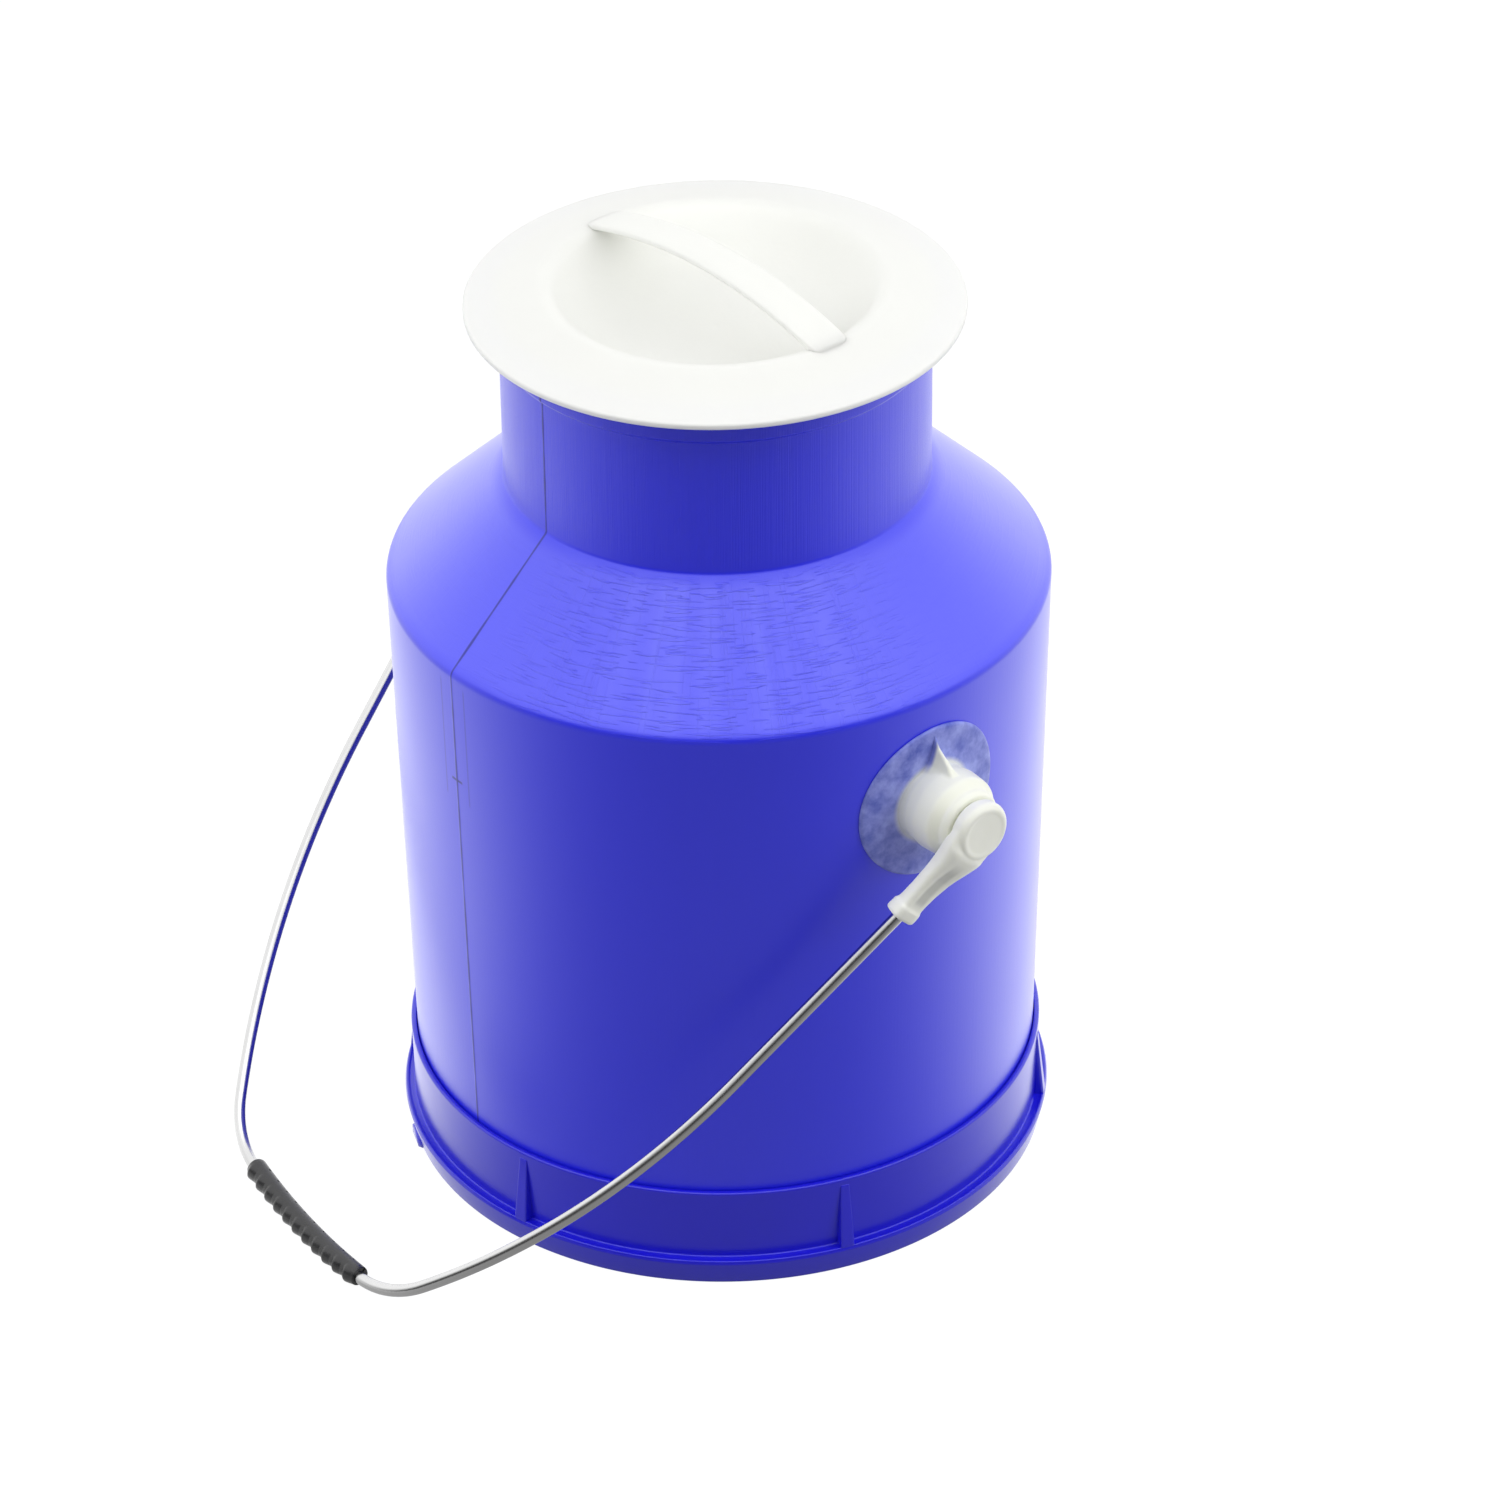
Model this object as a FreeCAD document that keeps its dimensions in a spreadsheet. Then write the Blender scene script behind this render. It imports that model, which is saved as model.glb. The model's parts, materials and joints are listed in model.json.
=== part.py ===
import FreeCAD, Part
import math
import os

import Sketcher

# Plastic milk can: a blue blow-moulded body in a foot ring, a push-in lid with a strap across its
# dish, and a wire bail with a split grip, carried by two studs welded to the wall.
# Millimetres. The origin is the middle of the foot's underside, +Z is up the can, and the bail
# turns about a line along X. At rest the bail leans to -Y and its grip lies on the ground.

DRIVING_SIZES = {
    # Body: a slightly tapered wall, a conical shoulder and a straight neck with a thin lip.
    "body_radius": 117.0,
    "body_foot_radius": 112.8,
    "shoulder_height": 230.0,
    "shoulder_rise": 40.0,
    "shoulder_rounding": 4.0,
    "body_foot_rounding": 3.0,
    "neck_radius": 74.6,
    "neck_length": 65.0,
    "lip_depth": 14.0,
    "lip_overhang": 0.8,
    "mouth_wall": 3.4,
    "mouth_clearance": 0.3,
    # Foot ring: a floor, a thin wall round the body and a ledge carried by gussets.
    "foot_floor": 3.0,
    "ring_height": 38.5,
    "ring_wall": 2.0,
    "ring_gap": 0.3,
    "ring_rounding": 0.8,
    "ledge_width": 3.9,
    "ledge_height": 10.4,
    "ledge_bead": 1.0,
    "skirt_taper": 2.1,
    "gusset_first_angle": 43.0,
    "gusset_top_drop": 2.5,
    "gusset_top_width": 3.5,
    "gusset_foot_width": 5.5,
    "gusset_foot_inset": 0.1,
    "tab_angle": -113.5,
    "tab_width": 12.0,
    "tab_reach": 1.6,
    "tab_height": 4.0,
    # Lid: a sloping flange round a dish, a plug in the mouth and a strap across the dish.
    "lid_overhang": 11.9,
    "lid_rim_height": 2.2,
    "lid_rim_drop": 2.3,
    "lid_rim_rounding": 0.9,
    "lid_wall": 2.5,
    "crest_inset": 9.3,
    "crest_rise": 6.0,
    "crest_rounding": 7.0,
    "crest_inner_drop": 1.75,
    "crest_outer_drop": 0.7,
    "dish_inset": 13.0,
    "dish_depth": 17.0,
    "dish_sag": 3.5,
    "plug_length": 17.0,
    "plug_wall": 2.4,
    "strap_angle": 2.0,
    "strap_width": 15.0,
    "strap_thickness": 3.0,
    "strap_rise": 10.0,
    "strap_seat": 2.0,
    # Studs: a thin disc on the wall, a boss with a collar, a fin above it and the pivot pin.
    "pivot_drop": 41.0,
    "stud_gap": 0.1,
    "disc_radius": 29.3,
    "disc_thickness": 1.4,
    "boss_foot_radius": 17.5,
    "boss_radius": 15.4,
    "boss_flare": 8.0,
    "boss_reach": 22.0,
    "collar_radius": 11.0,
    "collar_length": 2.2,
    "boss_shoulder": 3.4,
    "fin_rise": 25.0,
    "fin_step": 4.0,
    "fin_width": 2.4,
    "pin_radius": 4.0,
    "pin_cover": 1.5,
    # Bail ends: a round head on the pin and a tapered arm with a collar that holds the wire.
    "pivot_clearance": 0.08,
    "head_gap": 0.5,
    "head_radius": 11.0,
    "head_thickness": 6.4,
    "head_rounding": 1.6,
    "head_dish_radius": 8.2,
    "head_dish_depth": 0.6,
    "eye_end_gap": 0.3,
    "relief_gap": 0.4,
    "arm_length": 41.0,
    "arm_root_share": 0.6,
    "arm_root_width": 15.0,
    "arm_width": 9.5,
    "arm_thickness": 6.2,
    "arm_offset": 0.6,
    "arm_collar_length": 5.0,
    "arm_collar_overlap": 1.0,
    "arm_collar_width": 11.2,
    "arm_collar_thickness": 8.4,
    # Bail wire: straight legs, two long bends, two tight elbows and a shallow bow under the grip.
    "wire_radius": 2.25,
    "wire_fit": 0.1,
    "socket_depth": 23.0,
    "bail_rest_angle": 43.55,
    "bail_lean": 5.65,
    "leg_inset": 33.25,
    "bend_height": 77.35,
    "bend_share": 0.795,
    "elbow_reach": 16.6,
    "bow_half_turn": 6.47,
    # Grip: a split sleeve with ribs on its outer side.
    "grip_length": 72.0,
    "grip_radius": 4.0,
    "rib_step": 0.5,
    "rib_share": 0.62,
    "slit_width": 1.4,
}
GUSSET_COUNT = 6
RIB_COUNT = 11
# Grooves through a piece run this much past it, as a share of its length or radius.
RUN_PAST = 1.2

document = FreeCAD.newDocument("milk_can")
sheet = document.addObject("Spreadsheet::Sheet", "Sizes")
for row, (alias, number) in enumerate(DRIVING_SIZES.items(), start=1):
    sheet.set(f"A{row}", alias)
    sheet.set(f"B{row}", str(number))
    sheet.setAlias(f"B{row}", alias)
document.recompute()


class Size:
    """A number with the sheet expression that gives it, so that sums of sizes stay bound."""

    def __init__(self, value, text):
        self.value = value
        self.text = text

    @staticmethod
    def of(other):
        return other if isinstance(other, Size) else Size(float(other), repr(float(other)))

    def join(self, sign, other, value):
        return Size(value, f"({self.text} {sign} {other.text})")

    def __add__(self, other):
        other = Size.of(other)
        return self.join("+", other, self.value + other.value)

    def __sub__(self, other):
        other = Size.of(other)
        return self.join("-", other, self.value - other.value)

    def __mul__(self, other):
        other = Size.of(other)
        return self.join("*", other, self.value * other.value)

    def __truediv__(self, other):
        other = Size.of(other)
        return self.join("/", other, self.value / other.value)

    def __neg__(self):
        return Size(-self.value, f"(-1 * {self.text})")


def size(alias):
    """The named size of the sheet."""
    return Size(float(getattr(sheet, alias)), f"Sizes.{alias}")


ZERO = Size(0.0, "0")
UP = FreeCAD.Vector(0, 0, 1)
ACROSS = FreeCAD.Vector(1, 0, 0)


# Sketches and features ---------------------------------------------------------------------

def new_body(name):
    body = document.addObject("PartDesign::Body", name)
    body.Label = name
    return body


def new_sketch(body, name, role, offset=None):
    """A sketch on one of the body's own origin planes, moved by offset within that plane's frame."""
    plane = next(item for item in body.Origin.OriginFeatures if item.Role == role)
    sketch = body.newObject("Sketcher::SketchObject", name)
    sketch.AttachmentSupport = [(plane, "")]
    sketch.MapMode = "FlatFace"
    if offset is not None:
        sketch.AttachmentOffset = offset
    return sketch


def bind_coordinate(sketch, kind, axis, element, end, value):
    """Fixes one coordinate of a sketch point, on the axis itself where it is zero."""
    if abs(value.value) < 1e-9:
        sketch.addConstraint(Sketcher.Constraint("PointOnObject", element, end, axis))
        return
    if value.value < 0:
        constraint = Sketcher.Constraint(kind, element, end, -1, 1, -value.value)
        value = -value
    else:
        constraint = Sketcher.Constraint(kind, -1, 1, element, end, value.value)
    index = sketch.addConstraint(constraint)
    sketch.setExpression(f"Constraints[{index}]", value.text)


def bind_point(sketch, element, end, across, up):
    bind_coordinate(sketch, "DistanceX", -2, element, end, across)
    bind_coordinate(sketch, "DistanceY", -1, element, end, up)


def arc_between(start, end, radius):
    """The shorter arc from start to end, bulging to the left of the way for a positive radius."""
    chord = end - start
    left = FreeCAD.Vector(-chord.y, chord.x, 0).normalize()
    side = math.copysign(1.0, radius)
    height = math.sqrt(radius * radius - chord.Length ** 2 / 4)
    centre = (start + end) / 2 - left * height * side
    first, last = (start, end) if side < 0 else (end, start)
    angles = [math.atan2(point.y - centre.y, point.x - centre.x) for point in (first, last)]
    if angles[1] < angles[0]:
        angles[1] += 2 * math.pi
    return Part.ArcOfCircle(Part.Circle(centre, UP, abs(radius)), *angles)


def draw_outline(sketch, corners, arcs=None):
    """A closed outline through corners; arcs gives a radius to the side that leaves a corner."""
    arcs = arcs or {}
    points = [FreeCAD.Vector(across.value, up.value, 0) for across, up in corners]
    count = len(points)
    if sketch.GeometryCount:
        raise ValueError("an outline is drawn before anything else in its sketch")
    for index in range(count):
        start = points[index]
        end = points[(index + 1) % count]
        if index in arcs:
            sketch.addGeometry(arc_between(start, end, arcs[index].value))
        else:
            sketch.addGeometry(Part.LineSegment(start, end))
    for index in range(count):
        following = (index + 1) % count
        leaving = end_numbers(sketch, index, points[index])
        arriving = end_numbers(sketch, following, points[following])
        joint = Sketcher.Constraint("Coincident", index, leaving[1], following, arriving[0])
        sketch.addConstraint(joint)
        bind_point(sketch, index, leaving[0], *corners[index])
    for index, radius in arcs.items():
        number = sketch.addConstraint(Sketcher.Constraint("Radius", index, abs(radius.value)))
        sketch.setExpression(f"Constraints[{number}]", f"abs({radius.text})")


def end_numbers(sketch, element, start):
    """The sketch's numbers for the first and last end of an element that begins at start."""
    geometry = sketch.Geometry[element]
    if (geometry.StartPoint - start).Length < 1e-6:
        return 1, 2
    return 2, 1


def draw_circle(sketch, across, up, radius):
    """A circle about the point (across, up)."""
    centre = FreeCAD.Vector(across.value, up.value, 0)
    element = sketch.addGeometry(Part.Circle(centre, UP, radius.value))
    number = sketch.addConstraint(Sketcher.Constraint("Radius", element, radius.value))
    sketch.setExpression(f"Constraints[{number}]", radius.text)
    bind_point(sketch, element, 3, across, up)


def draw_axis(sketch, start, end):
    """A construction line from start to end, which features turn about as Axis0."""
    points = [FreeCAD.Vector(across.value, up.value, 0) for across, up in (start, end)]
    element = sketch.addGeometry(Part.LineSegment(*points), True)
    bind_point(sketch, element, 1, *start)
    bind_point(sketch, element, 2, *end)


def rectangle(across_low, across_high, up_low, up_high):
    return [
        (across_low, up_low),
        (across_high, up_low),
        (across_high, up_high),
        (across_low, up_high),
    ]


def turn(body, kind, name, sketch, axis="V_Axis", angle=None):
    """A Revolution or Groove about an axis of its sketch, a full turn or centred on the sketch."""
    feature = body.newObject(f"PartDesign::{kind}", name)
    feature.Profile = sketch
    feature.ReferenceAxis = (sketch, [axis])
    feature.Angle = 360
    if angle is not None:
        feature.Midplane = True
        feature.setExpression("Angle", angle.text)
    return feature


def extrude(body, kind, name, sketch, length, midplane=False, back=False):
    """A Pad or Pocket of a sketch."""
    feature = body.newObject(f"PartDesign::{kind}", name)
    feature.Profile = sketch
    feature.setExpression("Length", length.text)
    feature.Midplane = midplane
    feature.Reversed = back
    return feature


def rounded(body, name, base, radius, circles):
    """Rounds the circular edges of base that have one of the given radii and centre places."""
    document.recompute()
    names = []
    for number, edge in enumerate(base.Shape.Edges, start=1):
        curve = None if edge.Degenerated else edge.Curve
        if isinstance(curve, Part.Circle) and any(
            abs(curve.Radius - circle_radius.value) < 1e-4
            and abs(curve.Center.dot(along) - place.value) < 1e-4
            for circle_radius, along, place in circles
        ):
            names.append(f"Edge{number}")
    feature = body.newObject("PartDesign::Fillet", name)
    feature.Base = (base, names)
    feature.setExpression("Radius", radius.text)
    return feature


# Places that several pieces share -----------------------------------------------------------

neck_foot_height = size("shoulder_height") + size("shoulder_rise")
mouth_height = neck_foot_height + size("neck_length")
lip_radius = size("neck_radius") + size("lip_overhang")
mouth_radius = lip_radius - size("mouth_wall")
plug_radius = mouth_radius - size("mouth_clearance")
plug_inner = plug_radius - size("plug_wall")
plug_foot = mouth_height - size("plug_length")
crest_radius = plug_inner - size("crest_inset")
dish_radius = crest_radius - size("dish_inset")
pivot_height = size("shoulder_height") - size("pivot_drop")


def wall_radius(height):
    """The radius of the body's tapered wall at a height."""
    taper = size("body_radius") - size("body_foot_radius")
    wall_height = size("shoulder_height") - size("foot_floor")
    return size("body_foot_radius") + taper * (height - size("foot_floor")) / wall_height


boss_end = wall_radius(pivot_height) + size("boss_reach")
head_inner = boss_end + size("head_gap")
head_middle = head_inner + size("head_thickness") / 2
pin_length = size("head_gap") + size("head_thickness") - size("pin_cover")


# Can body -----------------------------------------------------------------------------------

def make_can_body():
    body = new_body("can_body")
    recess_floor = plug_foot - size("mouth_clearance")
    lip_foot = mouth_height - size("lip_depth")
    sketch = new_sketch(body, "body_profile", "XZ_Plane")
    draw_outline(sketch, [
        (ZERO, size("foot_floor")),
        (size("body_foot_radius"), size("foot_floor")),
        (size("body_radius"), size("shoulder_height")),
        (size("neck_radius"), neck_foot_height),
        (size("neck_radius"), lip_foot),
        (lip_radius, lip_foot + size("lip_overhang")),
        (lip_radius, mouth_height),
        (mouth_radius, mouth_height),
        (mouth_radius, recess_floor),
        (ZERO, recess_floor),
    ])
    shell = turn(body, "Revolution", "body_turned", sketch)
    shoulder = rounded(body, "shoulder_edge", shell, size("shoulder_rounding"), [
        (size("body_radius"), UP, size("shoulder_height")),
    ])
    rounded(body, "foot_edge", shoulder, size("body_foot_rounding"), [
        (size("body_foot_radius"), UP, size("foot_floor")),
    ])
    return body


# Foot ring ----------------------------------------------------------------------------------

def make_foot_ring():
    body = new_body("foot_ring")
    wall_foot = size("body_foot_radius") + size("ring_gap")
    wall_top = wall_radius(size("ring_height")) + size("ring_gap")
    ledge_inner = wall_radius(size("ledge_height")) + size("ring_gap") + size("ring_wall")
    ledge_outer = ledge_inner + size("ledge_width")
    bead_radius = ledge_outer - size("ledge_bead")
    sketch = new_sketch(body, "ring_profile", "XZ_Plane")
    draw_outline(sketch, [
        (ZERO, ZERO),
        (ledge_outer - size("skirt_taper"), ZERO),
        (ledge_outer, size("ledge_height") - size("ledge_bead")),
        (bead_radius, size("ledge_height") + size("ledge_bead") / 2),
        (bead_radius - size("ledge_bead"), size("ledge_height")),
        (ledge_inner, size("ledge_height")),
        (wall_top + size("ring_wall"), size("ring_height")),
        (wall_top, size("ring_height")),
        (wall_foot, size("foot_floor")),
        (ZERO, size("foot_floor")),
    ])
    ring = turn(body, "Revolution", "ring_turned", sketch)
    rounded(body, "ring_top", ring, size("ring_rounding"), [
        (wall_top + size("ring_wall"), UP, size("ring_height")),
    ])

    gusset_top = size("ring_height") - size("gusset_top_drop")
    foot = gusset_section(
        body, "gusset_foot", size("ledge_height"), ledge_outer - size("gusset_foot_inset"),
        size("gusset_foot_width"))
    top = gusset_section(
        body, "gusset_top", gusset_top, wall_top + size("ring_wall"), size("gusset_top_width"))
    gusset = body.newObject("PartDesign::AdditiveLoft", "gusset")
    gusset.Profile = foot
    gusset.Sections = [top]
    gusset.Ruled = True
    document.recompute()
    pattern = body.newObject("PartDesign::PolarPattern", "gussets")
    pattern.Originals = [gusset]
    pattern.Axis = (foot, ["N_Axis"])
    pattern.Angle = 360
    pattern.Occurrences = GUSSET_COUNT
    body.Tip = pattern

    tab_turn = size("tab_angle") - size("gusset_first_angle")
    placed = FreeCAD.Placement(FreeCAD.Vector(), FreeCAD.Rotation(UP, tab_turn.value))
    tab_sketch = new_sketch(body, "tab_outline", "XY_Plane", placed)
    draw_outline(tab_sketch, rectangle(
        wall_foot, ledge_outer - size("skirt_taper") + size("tab_reach"),
        -size("tab_width") / 2, size("tab_width") / 2))
    extrude(body, "Pad", "tab", tab_sketch, size("tab_height"))
    first = size("gusset_first_angle").value
    body.Placement = FreeCAD.Placement(FreeCAD.Vector(), FreeCAD.Rotation(UP, first))
    return body


def gusset_section(body, name, height, outer, width):
    """A gusset's outline at a height, from the middle of the ring's wall outwards."""
    inner = wall_radius(height) + size("ring_gap") + size("ring_wall") / 2
    lifted = FreeCAD.Placement(FreeCAD.Vector(0, 0, height.value), FreeCAD.Rotation())
    sketch = new_sketch(body, name, "XY_Plane", lifted)
    sketch.setExpression("AttachmentOffset.Base.z", height.text)
    draw_outline(sketch, rectangle(inner, outer, -width / 2, width / 2))
    return sketch


# Lid ----------------------------------------------------------------------------------------

def make_lid():
    body = new_body("lid")
    rim_radius = size("neck_radius") + size("lid_overhang")
    rim_foot = mouth_height - size("lid_rim_drop")
    rim_top = rim_foot + size("lid_rim_height")
    crest = mouth_height + size("crest_rise")
    crest_outer = crest_radius + size("crest_rounding") / 2
    crest_inner = crest_radius - size("crest_rounding") / 2
    dish_edge = crest - size("dish_depth") + size("dish_sag")
    wall = size("lid_wall")
    sag = size("dish_sag")
    dish_curve = (dish_radius * dish_radius + sag * sag) / (sag * 2)
    sketch = new_sketch(body, "lid_profile", "XZ_Plane")
    draw_outline(sketch, [
        (ZERO, crest - size("dish_depth")),
        (dish_radius, dish_edge),
        (crest_inner, crest - size("crest_inner_drop")),
        (crest_outer, crest - size("crest_outer_drop")),
        (rim_radius, rim_top),
        (rim_radius, rim_foot),
        (rim_radius - size("lid_rim_height"), rim_foot),
        (lip_radius + wall, mouth_height),
        (plug_radius, mouth_height),
        (plug_radius, plug_foot),
        (plug_inner, plug_foot),
        (plug_inner, crest - wall * 2),
        (crest_outer, crest - size("crest_outer_drop") - wall),
        (crest_inner + wall / 2, crest - size("crest_inner_drop") - wall),
        (dish_radius + wall, dish_edge - wall),
        (ZERO, crest - size("dish_depth") - wall),
    ], {0: -dish_curve, 2: size("crest_rounding"), 14: dish_curve + wall})
    lid = turn(body, "Revolution", "lid_turned", sketch)
    rounded(body, "rim_edge", lid, size("lid_rim_rounding"), [
        (rim_radius, UP, rim_top),
        (rim_radius, UP, rim_foot),
    ])

    seat = crest - size("strap_seat")
    rise = size("strap_rise")
    inner_curve = (crest_radius * crest_radius + rise * rise) / (rise * 2)
    strap_sketch = new_sketch(body, "strap_outline", "XZ_Plane")
    draw_outline(strap_sketch, [
        (-crest_radius, seat),
        (crest_radius, seat),
        (crest_radius, seat + size("strap_thickness")),
        (-crest_radius, seat + size("strap_thickness")),
    ], {0: inner_curve, 2: -inner_curve})
    extrude(body, "Pad", "strap", strap_sketch, size("strap_width"), midplane=True)
    turned = FreeCAD.Rotation(UP, size("strap_angle").value)
    body.Placement = FreeCAD.Placement(FreeCAD.Vector(), turned)
    return body


# Studs --------------------------------------------------------------------------------------

def boss_outline(gap, start, end):
    """Radii of the boss along the pivot, as (place, radius), with gap added all round."""
    shoulder = boss_end - size("collar_length") - size("boss_shoulder")
    return [
        (start, size("boss_foot_radius") + gap),
        (wall_radius(pivot_height) + size("boss_flare"), size("boss_radius") + gap),
        (shoulder, size("boss_radius") + gap),
        (boss_end - size("collar_length"), size("collar_radius") + size("lip_overhang") + gap),
        (end, size("collar_radius") + gap),
    ]


def make_stud(name, side_turn):
    body = new_body(name)
    above = size("disc_radius") + size("boss_shoulder")
    low = pivot_height - above
    high = pivot_height + above
    gap = size("stud_gap")
    skin = gap + size("disc_thickness")
    beyond = boss_end * 2

    disc_sketch = new_sketch(body, "disc_outline", "YZ_Plane")
    draw_circle(disc_sketch, ZERO, pivot_height, size("disc_radius"))
    extrude(body, "Pad", "disc", disc_sketch, boss_end)
    face_sketch = new_sketch(body, "disc_face", "XZ_Plane")
    draw_outline(face_sketch, [
        (wall_radius(low) + skin, low),
        (beyond, low),
        (beyond, high),
        (wall_radius(high) + skin, high),
    ])
    turn(body, "Groove", "disc_wrap", face_sketch)

    boss_sketch = new_sketch(body, "boss_profile", "XZ_Plane")
    start = wall_radius(pivot_height) - size("boss_flare")
    pin_end = boss_end + pin_length
    profile = [(place, pivot_height + radius) for place, radius in boss_outline(ZERO, start, boss_end)]
    draw_outline(boss_sketch, [(start, pivot_height)] + profile + [
        (boss_end, pivot_height + size("pin_radius")),
        (pin_end, pivot_height + size("pin_radius")),
        (pin_end, pivot_height),
    ])
    draw_axis(boss_sketch, (ZERO, pivot_height), (start, pivot_height))
    turn(body, "Revolution", "boss", boss_sketch, axis="Axis0")

    fin_sketch = new_sketch(body, "fin_outline", "XZ_Plane")
    shoulder = boss_end - size("collar_length") - size("boss_shoulder")
    step = size("boss_radius") + size("fin_step")
    draw_outline(fin_sketch, [
        (start, pivot_height),
        (shoulder, pivot_height),
        (shoulder, pivot_height + size("boss_radius")),
        (shoulder - size("fin_step"), pivot_height + step),
        (wall_radius(pivot_height) + size("boss_flare"), pivot_height + step + size("lip_overhang")),
        (wall_radius(pivot_height) + skin, pivot_height + size("fin_rise")),
        (start, pivot_height + size("fin_rise")),
    ])
    extrude(body, "Pad", "fin", fin_sketch, size("fin_width"), midplane=True)

    back_sketch = new_sketch(body, "wall_face", "XZ_Plane")
    draw_outline(back_sketch, [
        (ZERO, low),
        (wall_radius(low) + gap, low),
        (wall_radius(high) + gap, high),
        (ZERO, high),
    ])
    turn(body, "Groove", "wall_fit", back_sketch)
    body.Placement = FreeCAD.Placement(FreeCAD.Vector(), FreeCAD.Rotation(UP, side_turn))
    return body


# Bail ---------------------------------------------------------------------------------------
# The bail is laid out in its own plane: x along the pivot, y down from the pivot line to the bow.

def tangent(angle):
    return math.tan(math.radians(angle))


def cosine(angle):
    return math.cos(math.radians(angle))


def bail_placement():
    """Puts the bail's plane at its rest slope, hung from the pivot line on the -Y side."""
    lift = FreeCAD.Vector(0, 0, pivot_height.value)
    slope = FreeCAD.Rotation(ACROSS, -90 - size("bail_rest_angle").value)
    return FreeCAD.Placement(lift, slope)


def lean_rotation():
    return FreeCAD.Rotation(UP, size("bail_lean").value)


def bow_radius():
    return size("grip_length").value / 2 / tangent(size("bow_half_turn").value)


def bow_corner_depth():
    """Depth of the bow's middle corner, so that the grip at rest just touches the ground."""
    rest = cosine(size("bail_rest_angle").value)
    reach = (pivot_height.value - size("grip_radius").value) / rest - size("rib_step").value
    straight = bow_radius() / cosine(size("bow_half_turn").value)
    return (reach - bow_radius()) / cosine(size("bail_lean").value) + straight


def bail_corners():
    """The wire's corners in the bail's plane, from the pivot at +x to the pivot at -x."""
    depth = bow_corner_depth()
    run = size("grip_length").value / 2 + size("elbow_reach").value
    half_turn = math.radians(size("bow_half_turn").value)
    elbow_across = run * math.cos(half_turn)
    elbow_depth = depth - run * math.sin(half_turn)
    bend_across = head_middle.value - size("leg_inset").value
    bend_depth = depth - size("bend_height").value
    plain = [
        (bend_across, bend_depth),
        (elbow_across, elbow_depth),
        (0.0, depth),
        (-elbow_across, elbow_depth),
        (-bend_across, bend_depth),
    ]
    leaning = [lean_rotation().multVec(FreeCAD.Vector(across, down, 0)) for across, down in plain]
    end = FreeCAD.Vector(head_middle.value + size("arm_offset").value, 0, 0)
    return [end] + leaning + [-end]


def corner_reaches(corners):
    """How far each bend's arc starts before its corner and ends after it."""
    side = (corners[1] - corners[2]).Length
    bend = side * size("bend_share").value
    elbow = size("elbow_reach").value
    bow = size("grip_length").value / 2
    return [bend, elbow, bow, elbow, bend]


def bail_path():
    """The wire's centre line: straight runs joined by tangent arcs, from socket to socket."""
    corners = bail_corners()
    start = size("arm_length").value - size("socket_depth").value + size("eye_end_gap").value
    first_way = (corners[1] - corners[0]).normalize()
    last_way = (corners[-2] - corners[-1]).normalize()
    place = corners[0] + first_way * start
    finish = corners[-1] + last_way * start
    edges = []
    for number, reach in enumerate(corner_reaches(corners), start=1):
        corner = corners[number]
        arriving = (corner - corners[number - 1]).normalize()
        leaving = (corners[number + 1] - corner).normalize()
        half_turn = arriving.getAngle(leaving) / 2
        radius = reach / math.tan(half_turn)
        inward = (leaving - arriving).normalize()
        crown = corner + inward * (radius / math.cos(half_turn) - radius)
        arc_start = corner - arriving * reach
        arc_end = corner + leaving * reach
        if (arc_start - place).Length > 1e-3:
            edges.append(Part.LineSegment(place, arc_start).toShape())
        edges.append(Part.Arc(arc_start, crown, arc_end).toShape())
        place = arc_end
    edges.append(Part.LineSegment(place, finish).toShape())
    return Part.Wire(edges)


def make_bail_wire():
    path = document.addObject("Part::Feature", "bail_path")
    path.Shape = bail_path()
    section = document.addObject("Part::Circle", "wire_section")
    section.setExpression("Radius", size("wire_radius").text)
    start = path.Shape.OrderedEdges[0]
    way = start.tangentAt(start.FirstParameter)
    turned = FreeCAD.Rotation(UP, way)
    section.Placement = FreeCAD.Placement(start.valueAt(start.FirstParameter), turned)
    wire = document.addObject("Part::Sweep", "bail_wire")
    wire.Label = "bail_wire"
    wire.Sections = [section]
    wire.Spine = (path, [f"Edge{number}" for number in range(1, len(path.Shape.Edges) + 1)])
    wire.Solid = True
    wire.Frenet = False
    wire.Placement = bail_placement()
    return wire


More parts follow.
